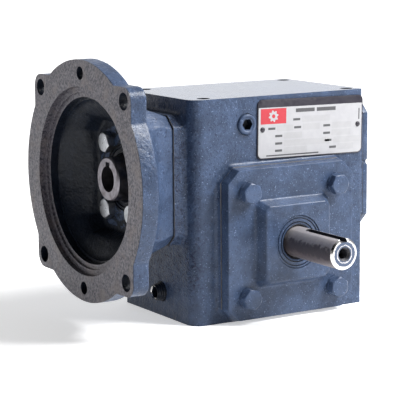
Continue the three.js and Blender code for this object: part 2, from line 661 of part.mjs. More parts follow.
function endCap() {
  const inner = RIGHT_BOSS_FACE + GASKET_THICKNESS;
  const plate = prism(bossOutline(), END_CAP_FACE - inner).applyMatrix4(FACING_X).translate(inner, 0, 0);
  const spigotEnd = TAIL_BEARING_X + BALL_BEARING_WIDTH / 2 + GAP;
  const spigotR = BALL_BEARING_R - GAP;
  const spigot = turnedAlongX([[END_CAP_SPIGOT_BORE_R, spigotEnd], [spigotR, spigotEnd],
    [spigotR, inner + 1], [END_CAP_SPIGOT_BORE_R, inner + 1]]);
  const cuts = [rodAlongX(PRY_NOTCH_R, inner - 1, END_CAP_FACE + 1, -BOSS_HALF_WIDTH, 1, 8)];
  for (const [sy, sz] of CORNERS) {
    cuts.push(rodAlongX(BOLT_HOLE_R, inner - 1, END_CAP_FACE + 1, sy * END_CAP_BOLT_Y, sz * END_CAP_BOLT_Z, 8));
  }
  return cut(joined([plate, spigot]), cuts);
}

// ---------------------------------------------------------------------------------------------------
// Seals and bearings
// ---------------------------------------------------------------------------------------------------

// A lip seal about Y: outer case with its rim, dished face and lip, outer face at y = 0 and body towards +Y.
function lipSeal(outerR, innerR, width) {
  const lipRootR = innerR + SEAL_LIP.reach;
  return turned([
    [outerR, 0], [outerR, width], [lipRootR, width], [lipRootR, SEAL_LIP.rootTo], [innerR, SEAL_LIP.to],
    [innerR, SEAL_LIP.from], [lipRootR, SEAL_LIP.rootFrom], [lipRootR, SEAL_DISH],
    [outerR - SEAL_RIM - 0.2, SEAL_DISH], [outerR - SEAL_RIM, 0],
  ], 28);
}

// Tapered roller bearing about Y with its wide end at y = 0, narrowing towards +Y.
function taperedCup() {
  const slope = Math.tan(ROLLER_TILT);
  const race = (y) => ROLLER_PITCH_R + ROLLER_R + RACE_GAP + slope * (y - CUP_WIDTH / 2);
  return turned([[CUP_OUTER_R, 0], [CUP_OUTER_R, CUP_WIDTH], [race(CUP_WIDTH), CUP_WIDTH], [race(0), 0]]);
}

function taperedCone() {
  const slope = Math.tan(ROLLER_TILT);
  const race = (y) => ROLLER_PITCH_R - ROLLER_R - RACE_GAP + slope * (y - CUP_WIDTH / 2);
  const ribHeight = 1.6;
  const rib = race(CUP_WIDTH) + ribHeight;
  return turned([[CONE_BORE_R, 0], [race(0), 0], [race(CUP_WIDTH), CUP_WIDTH], [rib, CUP_WIDTH],
    [rib, CONE_WIDTH], [CONE_BORE_R, CONE_WIDTH]]);
}

function rollerSet() {
  const slope = Math.tan(ROLLER_TILT);
  const cageAt = (y, offset) => ROLLER_PITCH_R + offset + slope * (y - CUP_WIDTH / 2);
  const cageInset = 4;
  const low = cageInset;
  const high = CUP_WIDTH - cageInset;
  const cage = turned([[cageAt(low, 0.1), low], [cageAt(low, 1), low], [cageAt(high, 1), high],
    [cageAt(high, 0.1), high]], ROLLER_COUNT);
  const rollers = [];
  for (let i = 0; i < ROLLER_COUNT; i += 1) {
    const roller = new THREE.CylinderGeometry(ROLLER_R, ROLLER_R - 0.3, ROLLER_LENGTH, 6);
    roller.rotateZ(-ROLLER_TILT).translate(ROLLER_PITCH_R, CUP_WIDTH / 2, 0);
    roller.rotateY((2 * Math.PI * i) / ROLLER_COUNT);
    rollers.push(roller);
  }
  return joined([cage, ...rollers]);
}

// Deep-groove ball bearing about X, centred on x = 0.
function grooveProfile(edgeR, side) {
  const half = BALL_BEARING_WIDTH / 2;
  const grooveR = BALL_R + RACE_GAP;
  const halfAngle = Math.acos((Math.abs(edgeR - BALL_PITCH_R)) / grooveR);
  const steps = 3;
  const points = [[edgeR, -half]];
  for (let i = 0; i <= steps; i += 1) {
    const angle = -halfAngle + (2 * halfAngle * i) / steps;
    points.push([BALL_PITCH_R + side * grooveR * Math.cos(angle), grooveR * Math.sin(angle)]);
  }
  points.push([edgeR, half]);
  return points;
}

function ballOuterRing() {
  const half = BALL_BEARING_WIDTH / 2;
  return turnedAlongX([...grooveProfile(BALL_PITCH_R + BALL_LAND, 1), [BALL_BEARING_R, half],
    [BALL_BEARING_R, -half]]);
}

function ballInnerRing(boreR) {
  const half = BALL_BEARING_WIDTH / 2;
  return turnedAlongX([...grooveProfile(BALL_PITCH_R - BALL_LAND, -1), [boreR, half], [boreR, -half]]);
}

function ballSet() {
  const cageInnerR = BALL_PITCH_R - 0.5;
  const cageOuterR = BALL_PITCH_R + 0.5;
  const cage = turnedAlongX([[cageInnerR, -1], [cageOuterR, -1], [cageOuterR, 1], [cageInnerR, 1]], 2 * BALL_COUNT);
  const balls = [];
  for (let i = 0; i < BALL_COUNT; i += 1) {
    const ball = new THREE.SphereGeometry(BALL_R, 6, 4);
    balls.push(ball.translate(0, BALL_PITCH_R, 0).rotateX((2 * Math.PI * i) / BALL_COUNT));
  }
  return joined([cage, ...balls]);
}

// ---------------------------------------------------------------------------------------------------
// Output shaft line, about Y through the output axis
// ---------------------------------------------------------------------------------------------------

// A key's slot through a shaft along Y, with its floor below the shaft's surface.
function keySlot(shaftR, from, to) {
  return block(-KEY_WIDTH / 2, KEY_WIDTH / 2, from, to, shaftR - KEYWAY_DEPTH, shaftR + KEYWAY_DEPTH);
}

function outputShaft() {
  const journalR = CONE_BORE_R - GAP;
  const shoulder = CUP_FACE - CONE_WIDTH - 0.2;
  const hubSide = WHEEL_HUB_HALF + GAP;
  const body = turned([
    [0, -SHAFT_END], [SHAFT_R - SHAFT_CHAMFER, -SHAFT_END], [SHAFT_R, -SHAFT_END + SHAFT_CHAMFER],
    [SHAFT_R, -CUP_FACE - 1.5], [journalR, -CUP_FACE - 0.5], [journalR, -shoulder], [WHEEL_SHOULDER_R, -shoulder],
    [WHEEL_SHOULDER_R, -hubSide], [WHEEL_SEAT_R, -hubSide], [WHEEL_SEAT_R, hubSide], [journalR, hubSide],
    [journalR, CUP_FACE - 1.5], [journalR - 1, CUP_FACE - 0.5], [0, CUP_FACE - 0.5],
  ], 32);
  const keyway = keySlot(SHAFT_R, -SHAFT_END - 1, -SHAFT_KEYWAY_START).rotateY(SHAFT_KEYWAY_ANGLE);
  const { mouthR, r, countersink, depth, point } = CENTRE_HOLE;
  const centre = turned([[0, -SHAFT_END - 1], [mouthR, -SHAFT_END - 1], [mouthR, -SHAFT_END],
    [r, -SHAFT_END + countersink], [r, -SHAFT_END + depth], [0, -SHAFT_END + depth + point]], 16);
  return cut(body, [keyway, keySlot(WHEEL_SEAT_R, -WHEEL_HALF_WIDTH, WHEEL_HALF_WIDTH), centre]);
}

// Outline of the toothed rim at a distance y from the middle; the gap between teeth faces +Z at y = 0.
function wheelRing(y) {
  const twist = (y * WORM_LEAD) / (2 * Math.PI * WORM_PITCH_R) / WHEEL_PITCH_R;
  const pitch = (2 * Math.PI) / WHEEL_TEETH;
  const tipHalf = WHEEL_TOOTH.tipHalf / WHEEL_TIP_R;
  const pitchHalf = WHEEL_TOOTH.pitchHalf / WHEEL_PITCH_R;
  const rootHalf = WHEEL_TOOTH.rootHalf / WHEEL_ROOT_R;
  const ring = [];
  for (let tooth = 0; tooth < WHEEL_TEETH; tooth += 1) {
    const middle = (tooth + 0.5) * pitch + twist;
    const points = [
      [WHEEL_ROOT_R, -rootHalf], [WHEEL_PITCH_R, -pitchHalf], [WHEEL_TIP_R, -tipHalf],
      [WHEEL_TIP_R, tipHalf], [WHEEL_PITCH_R, pitchHalf], [WHEEL_ROOT_R, rootHalf],
    ];
    for (const [r, offset] of points) {
      const angle = middle + offset;
      ring.push(new THREE.Vector3(r * Math.sin(angle), y, r * Math.cos(angle)));
    }
  }
  return ring;
}

function wormWheel() {
  const rim = loft([-1, 1].map((part) => wheelRing(part * WHEEL_HALF_WIDTH)));
  const hub = rodAlongY(WHEEL_HUB_R, -WHEEL_HUB_HALF, WHEEL_HUB_HALF, 0, 0, 28);
  const bore = rodAlongY(WHEEL_SEAT_R + GAP, -WHEEL_HUB_HALF - 1, WHEEL_HUB_HALF + 1, 0, 0, 36);
  const slotHalf = KEY_WIDTH / 2 + KEY_FIT;
  const slotTop = WHEEL_SEAT_R + KEYWAY_DEPTH + 2 * KEY_FIT;
  const keyway = block(-slotHalf, slotHalf, -WHEEL_HUB_HALF - 1, WHEEL_HUB_HALF + 1, 0, slotTop);
  return cut(joined([rim, hub]), [bore, keyway]);
}

function wheelKey() {
  const half = KEY_WIDTH / 2 - KEY_FIT;
  const height = KEYWAY_DEPTH - 2 * KEY_FIT;
  return block(-half, half, -WHEEL_KEY_HALF, WHEEL_KEY_HALF, WHEEL_SEAT_R - height, WHEEL_SEAT_R + height);
}

function shaftSpacer() {
  const from = WHEEL_HUB_HALF + 2 * GAP;
  const to = CUP_FACE - CONE_WIDTH - 0.4;
  const boreR = CONE_BORE_R + 0.15;
  return turned([[boreR, from], [boreR + SPACER_WALL, from], [boreR + SPACER_WALL, to], [boreR, to]]);
}

// ---------------------------------------------------------------------------------------------------
// Worm shaft with its hollow quill, about X through the input axis
// ---------------------------------------------------------------------------------------------------

// One right-hand thread; its crest faces -Z at x = 0.
function wormThread() {
  const rings = [];
  const halfSteps = Math.round((WORM_HALF_LENGTH / WORM_LEAD) * WORM_STEPS);
  for (let i = -halfSteps; i <= halfSteps; i += 1) {
    const x = (i * WORM_LEAD) / WORM_STEPS;
    const ring = [];
    for (let j = 0; j < WORM_STEPS; j += 1) {
      const phase = THREE.MathUtils.euclideanModulo(i - j, WORM_STEPS);
      const fromCrest = (Math.min(phase, WORM_STEPS - phase) / WORM_STEPS) * WORM_LEAD;
      const onFlank = WORM_OUTER_R - (fromCrest - WORM_CREST_HALF) / WORM_FLANK_SLOPE;
      const r = THREE.MathUtils.clamp(onFlank, WORM_ROOT_R, WORM_OUTER_R);
      const angle = (2 * Math.PI * j) / WORM_STEPS - Math.PI / 2;
      ring.push(new THREE.Vector3(x, r * Math.cos(angle), r * Math.sin(angle)));
    }
    rings.push(ring);
  }
  return loft(rings);
}

function wormShaft() {
  const inputSide = INPUT_BEARING_X - BALL_BEARING_WIDTH / 2;
  const inputShoulder = INPUT_BEARING_X + BALL_BEARING_WIDTH / 2 + 0.1;
  const tailShoulder = TAIL_BEARING_X - BALL_BEARING_WIDTH / 2 - 0.1;
  const tailEnd = TAIL_BEARING_X + BALL_BEARING_WIDTH / 2 + WORM_TAIL;
  const thread = WORM_HALF_LENGTH - 1;
  const rootR = WORM_ROOT_R - 0.2;
  const body = turnedAlongX([
    [0, QUILL_END], [QUILL_R - 0.8, QUILL_END], [QUILL_R, QUILL_END + 0.8], [QUILL_R, inputSide - 0.5],
    [INPUT_JOURNAL_R, inputSide - 0.3], [INPUT_JOURNAL_R, inputShoulder],
    [WORM_COLLAR_R, inputShoulder], [WORM_CORE_R, inputShoulder + WORM_RUNOUT],
    [WORM_CORE_R, -thread - WORM_RUNOUT], [rootR, -thread], [rootR, thread], [WORM_CORE_R, thread + WORM_RUNOUT],
    [WORM_CORE_R, tailShoulder], [TAIL_JOURNAL_R, tailShoulder], [TAIL_JOURNAL_R, tailEnd - 1],
    [TAIL_JOURNAL_R - 1, tailEnd], [0, tailEnd],
  ]);
  const bore = rodAlongX(QUILL_BORE_R, QUILL_END - 1, QUILL_BORE_END, 0, 0, 28);
  const keyway = block(QUILL_END - 1, QUILL_KEYWAY_END, -KEY_WIDTH / 2, KEY_WIDTH / 2,
    0, QUILL_BORE_R + KEYWAY_DEPTH);
  return cut(joined([body, wormThread()]), [bore, keyway]);
}

// ---------------------------------------------------------------------------------------------------
// Assembly
// ---------------------------------------------------------------------------------------------------

const gearbox = new THREE.Group();
const outputAxis = new THREE.Group();
outputAxis.position.set(0, 0, OUTPUT_HEIGHT);
const inputAxis = new THREE.Group();
inputAxis.position.set(0, 0, INPUT_HEIGHT);
gearbox.add(outputAxis, inputAxis);

gearbox.add(mesh('housing', housing(), BLUE_PAINT()));
gearbox.add(mesh('motor_flange', motorFlange(), BLUE_PAINT()));

const flangeGasket = mesh('motor_flange_gasket', bossGasket(BELL_BOLT_Y, BELL_BOLT_Z, 17), GASKET_PAPER());
flangeGasket.position.x = LEFT_BOSS_FACE - GASKET_THICKNESS;
const capGasket = mesh('end_cap_gasket', bossGasket(END_CAP_BOLT_Y, END_CAP_BOLT_Z, BALL_BEARING_R + 1),
  GASKET_PAPER());
capGasket.position.x = RIGHT_BOSS_FACE;
const inputSeal = mesh('input_seal', lipSeal(INPUT_SEAL_R, QUILL_R + GAP, INPUT_SEAL_WIDTH), BLACK_RUBBER());
inputSeal.rotation.z = -Math.PI / 2;
inputSeal.position.x = BELL_FLOOR + SEAL_SETBACK;
inputAxis.add(flangeGasket, mesh('end_cap', endCap(), BLUE_PAINT()), capGasket, inputSeal);

// The front cover carries the shaft and its seal; the rear one is the same casting left closed.
const rearSide = new THREE.Group();
rearSide.rotation.z = Math.PI;
const frontSide = new THREE.Group();
outputAxis.add(frontSide, rearSide);
frontSide.add(mesh('output_cover', outputCover(), BLUE_PAINT()));
frontSide.add(mesh('output_cover_gasket', coverGasket(), GASKET_PAPER()));
rearSide.add(mesh('rear_cover', rearCover(), BLUE_PAINT()));
rearSide.add(mesh('rear_cover_gasket', coverGasket(), GASKET_PAPER()));
const outputSeal = mesh('output_seal', lipSeal(SEAL_BORE_R - 0.15, SHAFT_R + GAP, SEAL_DEPTH), BLACK_RUBBER());
outputSeal.position.y = -RAISED_PAD_FACE + SEAL_SETBACK;
frontSide.add(outputSeal);

for (const [side, label] of [[frontSide, 'output_cover'], [rearSide, 'rear_cover']]) {
  CORNERS.forEach(([sx, sz], i) => {
    const seat = new THREE.Group();
    seat.position.set(sx * COVER_BOLT, -COVER_FACE, sz * COVER_BOLT);
    seat.rotation.x = Math.PI / 2;
    const reach = COVER_FACE - PAD_FACE + WASHER_THICKNESS + COVER_BOLT_DEPTH - BOLT_END_ROOM;
    const bolt = mesh(`${label}_bolt_${i + 1}`, hexBolt(BOLT_HEAD, reach), BLUE_PAINT());
    bolt.position.z = WASHER_THICKNESS;
    const washer = mesh(`${label}_washer_${i + 1}`, lockWasher(), BLUE_PAINT());
    seat.add(bolt, washer);
    side.add(seat);
  });
}

CORNERS.forEach(([sy, sz], i) => {
  const headOut = new THREE.Group();
  headOut.position.set(BELL_FLOOR - 0.1, sy * BELL_BOLT_Y, sz * BELL_BOLT_Z);
  headOut.rotation.y = -Math.PI / 2;
  const reach = LEFT_BOSS_FACE - BELL_FLOOR + BELL_BOLT_REACH - BOLT_END_ROOM;
  headOut.add(mesh(`motor_flange_bolt_${i + 1}`, hexBolt(BELL_BOLT_HEAD, reach), ZINC_STEEL()));
  const capSeat = new THREE.Group();
  capSeat.position.set(END_CAP_FACE + 0.1, sy * END_CAP_BOLT_Y, sz * END_CAP_BOLT_Z);
  capSeat.rotation.y = Math.PI / 2;
  const capReach = END_CAP_FACE - RIGHT_BOSS_FACE + COVER_BOLT_DEPTH - BOLT_END_ROOM;
  capSeat.add(mesh(`end_cap_bolt_${i + 1}`, hexBolt(BOLT_HEAD, capReach), BLUE_PAINT()));
  inputAxis.add(headOut, capSeat);
});

// Oil plugs: fill plug in front, its twin behind, and a threaded drain plug under the neck.
for (const [label, side] of [['fill_plug', -1], ['level_plug', 1]]) {
  const plug = mesh(label, socketPlug(), BLUE_PAINT());
  plug.position.set(FILL_PLUG.x, side * HOUSING_HALF_DEPTH, FILL_PLUG.z);
  plug.rotation.x = -side * Math.PI / 2;
  gearbox.add(plug);
}
const drainPlug = mesh('drain_plug', threadedPlug(), BLUE_PAINT());
drainPlug.position.set(HOUSING_LEFT, DRAIN_PLUG.y, DRAIN_PLUG.z);
drainPlug.rotation.y = -Math.PI / 2;
gearbox.add(drainPlug);

const plate = mesh('nameplate', nameplate(), PLATE_WHITE());
plate.position.set(NAMEPLATE.x, -HOUSING_HALF_DEPTH - GASKET_GAP, NAMEPLATE.z);
plate.rotation.y = -NAMEPLATE_TILT;
gearbox.add(plate);
for (const side of [-1, 1]) {
  const place = nameplatePinPlace(side);
  const pin = mesh(`nameplate_pin_${side < 0 ? 1 : 2}`, drivePin(), ZINC_STEEL());
  pin.position.set(place.x, -HOUSING_HALF_DEPTH - NAMEPLATE.thickness - GASKET_GAP, place.z);
  pin.rotation.x = Math.PI / 2;
  gearbox.add(pin);
}

// Tapered roller bearings of the output shaft, wide end of each cup outwards.
for (const [side, label] of [[frontSide, 'front'], [rearSide, 'rear']]) {
  const bearing = new THREE.Group();
  bearing.position.y = -CUP_FACE;
  bearing.add(mesh(`output_bearing_cup_${label}`, taperedCup(), BEARING_STEEL()));
  bearing.add(mesh(`output_bearing_cone_${label}`, taperedCone(), BEARING_STEEL()));
  bearing.add(mesh(`output_roller_set_${label}`, rollerSet(), BEARING_STEEL()));
  side.add(bearing);
}

outputAxis.add(mesh('output_shaft', outputShaft(), BRIGHT_STEEL()));
outputAxis.add(mesh('worm_wheel', wormWheel(), BRONZE()));
outputAxis.add(mesh('wheel_key', wheelKey(), BRIGHT_STEEL()));
outputAxis.add(mesh('shaft_spacer', shaftSpacer(), BRIGHT_STEEL()));

inputAxis.add(mesh('worm_shaft', wormShaft(), CAST_IRON()));
const BALL_BEARINGS = [
  ['input', INPUT_BEARING_X, INPUT_JOURNAL_R],
  ['tail', TAIL_BEARING_X, TAIL_JOURNAL_R],
];
for (const [label, x, journalR] of BALL_BEARINGS) {
  const bearing = new THREE.Group();
  bearing.position.x = x;
  bearing.add(mesh(`${label}_bearing_outer_ring`, ballOuterRing(), BEARING_STEEL()));
  bearing.add(mesh(`${label}_bearing_inner_ring`, ballInnerRing(journalR + GAP), BEARING_STEEL()));
  bearing.add(mesh(`${label}_ball_set`, ballSet(), BEARING_STEEL()));
  inputAxis.add(bearing);
}

export default gearbox;
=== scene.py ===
"""Looks of a right-angle worm gear reducer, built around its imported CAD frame.

The pieces are modelled in millimetres in the shared frame and turned into metres as they are placed.
"""

import json
import math

import bmesh
import bpy
from mathutils import Matrix, Vector


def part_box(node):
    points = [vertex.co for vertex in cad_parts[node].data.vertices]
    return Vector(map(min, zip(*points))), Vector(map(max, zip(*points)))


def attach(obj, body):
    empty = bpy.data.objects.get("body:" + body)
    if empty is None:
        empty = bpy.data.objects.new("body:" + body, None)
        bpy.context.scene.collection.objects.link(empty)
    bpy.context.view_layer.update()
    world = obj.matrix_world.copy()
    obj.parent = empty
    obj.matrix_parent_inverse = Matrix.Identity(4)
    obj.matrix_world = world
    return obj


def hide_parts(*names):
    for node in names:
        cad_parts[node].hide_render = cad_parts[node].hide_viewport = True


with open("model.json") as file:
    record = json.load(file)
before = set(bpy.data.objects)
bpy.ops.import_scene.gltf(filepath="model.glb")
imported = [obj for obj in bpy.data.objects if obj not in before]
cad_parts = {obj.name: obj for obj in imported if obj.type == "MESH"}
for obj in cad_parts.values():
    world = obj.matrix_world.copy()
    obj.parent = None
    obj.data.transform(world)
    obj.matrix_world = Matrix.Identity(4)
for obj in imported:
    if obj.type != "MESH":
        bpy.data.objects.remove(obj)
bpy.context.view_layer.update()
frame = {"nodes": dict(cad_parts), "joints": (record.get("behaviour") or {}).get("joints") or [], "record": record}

MM = 0.001

# ---- Places and sizes, in millimetres


def corners(node):
    """Lowest and highest corner of a CAD node."""
    low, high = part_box(node)
    return low / MM, high / MM


def joint_place(name):
    joint = next(j for j in frame["joints"] if j["name"] == name)
    return Vector(joint["pos_m"]) / MM


OUTPUT_Z = joint_place("output_spin").z
INPUT_Z = joint_place("input_spin").z
INPUT_BEARING_X = joint_place("balls_input_spin").x
TAIL_BEARING_X = joint_place("balls_tail_spin").x
BEARING_HALF = 7.5
FIT = 0.3

FLANGE_FACE = corners("motor_flange")[0].x
NECK_END = corners("motor_flange")[1].x
FLANGE_R = corners("motor_flange")[1].y
FLANGE_BACK = FLANGE_FACE + 11
LUG_HALF = 61
LUG_RADIUS = 8
FLANGE_HOLE = 52.75
FLANGE_HOLE_R = 5.2
SMALL_HOLE_OFFSET = 65.2
SMALL_HOLE_R = 4
PILOT_R, PILOT_DEPTH = 57.15, 3.2
STEP_R, STEP_DEPTH = 53.6, 4.6
RECESS_R, RECESS_DEPTH = 50.6, 9
BELL_FLOOR = -89.35
BELL_BOLT_Y, BELL_BOLT_Z = 15.5, 20.5

LEFT_BOSS_FACE, RIGHT_BOSS_FACE = (c.x for c in corners("housing"))
PAD_FACE = corners("housing")[1].y
HOUSING_TOP = corners("housing")[1].z
HOUSING_LEFT = -64.9
HOUSING_RIGHT = 60.4
HOUSING_DEPTH = 42
HOUSING_FRONT_LEFT_RADIUS = 8
HOUSING_EDGE_RADIUS = 1.2
BOSS_HALF_WIDTH, BOSS_HALF_HEIGHT, BOSS_CHAMFER = 34.8, 39.6, 7
PAD_BASE_HALF, PAD_FACE_HALF, PAD_CHAMFER = 48.3, 47.4, 9
CAVITY_LOW, CAVITY_HIGH = (-46, -30, 8), (45, 30, 124)
COVER_BORE_R = 36
FOOT_HOLE_X, FOOT_HOLE_Y = 53, 35
FOOT_HOLE_R, FOOT_HOLE_DEPTH = 4, 14
BOLT_HOLE_R = 3.4
COVER_BOLT = 32.4
CAP_BOLT_Y, CAP_BOLT_Z = 18, 32
BOLT_DEPTH = 12
BEARING_POCKET_R = 26.35
QUILL_HOLE_R = 15
INPUT_SEAL_POCKET_R = 20.35

COVER_FACE = corners("rear_cover")[1].y
COVER_BACK = PAD_FACE + 0.4
COVER_HALF, COVER_CHAMFER = 46.2, 8
COVER_HUB_R, COVER_HUB_END = 35.6, 31
RAISED_FACE = -corners("output_cover")[0].y
RAISED_BASE_HALF, RAISED_HALF, RAISED_CHAMFER = 27.2, 23.4, 3
CUP_R, CUP_FACE = 25.1, 48
SEAL_R, SEAL_DEPTH, SEAL_THROAT_R = 16.5, 7, 14.7
SHAFT_R = 9.525
SHAFT_END = -corners("output_shaft")[0].y
SHAFT_CHAMFER = 1.1
KEY_WIDTH, KEYWAY_DEPTH = 4.76, 2.4
KEYWAY_START, KEYWAY_TURN = 69, math.radians(5)
JOURNAL_R, SHOULDER_R, WHEEL_SEAT_R = 12.4, 16.5, 14
SHOULDER, SEAT_HALF, WHEEL_KEY_HALF = 34, 13.3, 9
CENTRE_MOUTH_R, CENTRE_R = 4.3, 3.1

END_CAP_FACE = corners("end_cap")[1].x
NAMEPLATE_LOW, NAMEPLATE_HIGH = corners("nameplate")

QUARTERS = ((-1, 1), (1, 1), (1, -1), (-1, -1))

# ---- Directions: local Z turns into the direction named, and a place adds a point in the shared frame

RIGHT = Matrix(((0, 0, 1, 0), (1, 0, 0, 0), (0, 1, 0, 0), (0, 0, 0, 1)))
FRONT = Matrix(((1, 0, 0, 0), (0, 0, -1, 0), (0, 1, 0, 0), (0, 0, 0, 1)))
HALF_TURN = Matrix.Rotation(math.pi, 4, "Z")
LEFT = HALF_TURN @ RIGHT
REAR = HALF_TURN @ FRONT
UP = Matrix.Identity(4)


def at(direction, x=0.0, y=0.0, z=0.0):
    return Matrix.Translation((x, y, z)) @ direction


# ---- Mesh helpers


def solid(name, bm, place=UP, material=None):
    """An object from a bmesh that was drawn in millimetres."""
    bmesh.ops.transform(bm, matrix=place, verts=bm.verts)
    bmesh.ops.recalc_face_normals(bm, faces=bm.faces)
    mesh = bpy.data.meshes.new(name)
    bm.to_mesh(mesh)
    bm.free()
    if material:
        mesh.materials.append(material)
    made = bpy.data.objects.new(name, mesh)
    bpy.context.scene.collection.objects.link(made)
    return made


def skin(rings, capped=True):
    """A closed solid through rings of points; a ring of one point is a tip."""
    bm = bmesh.new()
    loops = [[bm.verts.new(p) for p in ring] for ring in rings]
    pairs = list(zip(loops, loops[1:]))
    if not capped:
        pairs.append((loops[-1], loops[0]))
    for lower, upper in pairs:
        count = max(len(lower), len(upper))
        for i in range(count):
            j = (i + 1) % count
            around = [lower[i % len(lower)], lower[j % len(lower)]]
            around += [upper[j % len(upper)], upper[i % len(upper)]]
            bm.faces.new(dict.fromkeys(around))
    if capped:
        for end in (loops[0], loops[-1]):
            if len(end) > 2:
                bm.faces.new(end)
    return bm


def circle(r, z, segments, radius_at=None):
    if r < 1e-6:
        return [(0, 0, z)]
    angles = [2 * math.pi * i / segments for i in range(segments)]
    radii = [radius_at(a, z) if radius_at else r for a in angles]
    return [(q * math.cos(a), q * math.sin(a), z) for a, q in zip(angles, radii)]


def revolve(profile, segments=96):
    """A solid turned about local Z, from (radius, height) points."""
    return skin([circle(r, z, segments) for r, z in profile], capped=profile[0][0] < 1e-6)


def rod(r, low, high, segments=64):
    return revolve([(0, low), (r, low), (r, high), (0, high)], segments)


def prism(outline, low, high):
    return skin([[(x, y, z) for x, y in outline] for z in (low, high)])


def block(low, high):
    (x0, y0, z0), (x1, y1, z1) = low, high
    return prism([(x0, y0), (x1, y0), (x1, y1), (x0, y1)], z0, z1)


def octagon(half_width, half_height, chamfer, steps=1):
    """Points round a rectangle with cut corners, each side in so many steps."""
    w, h, c = half_width, half_height, chamfer
    upper = [(w, h - c), (w - c, h), (c - w, h), (-w, h - c)]
    points = upper + [(-x, -y) for x, y in upper]
    outline = []
    for (x0, y0), (x1, y1) in zip(points, points[1:] + points[:1]):
        outline += [(x0 + (x1 - x0) * k / steps, y0 + (y1 - y0) * k / steps) for k in range(steps)]
    return outline


def rounded_rectangle(half_width, half_height, radii, steps=12):
    """Radii are those of the right top, left top, left bottom and right bottom corners."""
    outline = []
    for quarter, ((sx, sy), r) in enumerate(zip(((1, 1), (-1, 1), (-1, -1), (1, -1)), radii)):
        for k in range(steps + 1):
            angle = (quarter + k / steps) * math.pi / 2
            x = sx * (half_width - r) + r * math.cos(angle)
            y = sy * (half_height - r) + r * math.sin(angle)
            outline.append((x, y))
    return outline


def hexagon(across_flats):
    r = across_flats / math.sqrt(3)
    return [(r * math.cos(k * math.pi / 3), r * math.sin(k * math.pi / 3)) for k in range(6)]


def bake_modifiers(obj):
    graph = bpy.context.evaluated_depsgraph_get()
    mesh = bpy.data.meshes.new_from_object(obj.evaluated_get(graph), depsgraph=graph)
    obj.modifiers.clear()
    obj.data = mesh
    return obj


def combine(obj, others, operation):
    """Joins, cuts or intersects with each of the others in turn, and removes them."""
    for other in others:
        step = obj.modifiers.new("combine", "BOOLEAN")
        step.operation = operation
        step.solver = "MANIFOLD"
        step.material_mode = "TRANSFER"
        step.object = other
    bake_modifiers(obj)
    for other in others:
        bpy.data.meshes.remove(other.data)
    return obj


def union(first, *others):
    return combine(first, others, "UNION")


def cut(obj, *tools):
    return combine(obj, tools, "DIFFERENCE")


def cast_skin(obj, voxel, smoothing, waviness):
    """Sand-cast surface: even mesh with soft fillets and a slight waviness."""
    remesh = obj.modifiers.new("skin", "REMESH")
    remesh.mode = "VOXEL"
    remesh.voxel_size = voxel
    smooth = obj.modifiers.new("fillets", "SMOOTH")
    smooth.factor = 0.5
    smooth.iterations = smoothing
    texture = bpy.data.textures.new("cast_waves", "CLOUDS")
    texture.noise_scale = 6
    waves = obj.modifiers.new("waves", "DISPLACE")
    waves.texture = texture
    waves.texture_coords = "LOCAL"
    waves.strength = waviness
    return bake_modifiers(obj)


def soften(obj, width, segments=3, angle=30):
    """Small rounded edges on a machined or formed piece."""
    bevel = obj.modifiers.new("edges", "BEVEL")
    bevel.width = width
    bevel.segments = segments
    bevel.limit_method = "ANGLE"
    bevel.angle_limit = math.radians(angle)
    bevel.harden_normals = False
    return bake_modifiers(obj)


def place_piece(obj, body, nodes, sharp=32):
    """Turns a finished piece into metres and lets it stand for its CAD nodes."""
    obj.data.transform(Matrix.Scale(MM, 4))
    obj.data.shade_smooth()
    obj.data.set_sharp_from_angle(angle=math.radians(sharp))
    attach(obj, body)
    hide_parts(*nodes)
    return obj


def copy_piece(original, name, place):
    made = bpy.data.objects.new(name, original.data.copy())
    made.data.transform(place)
    bpy.context.scene.collection.objects.link(made)
    return made


def along_x(r, low, high, y=0.0, z=0.0, segments=64):
    """A rod along the input axis, at y and z from it."""
    return rod(r, low, high, segments), at(RIGHT, 0, y, INPUT_Z + z)


def tool(bm, place=UP, material=None):
    return solid("tool", bm, place, material)


# ---- Materials


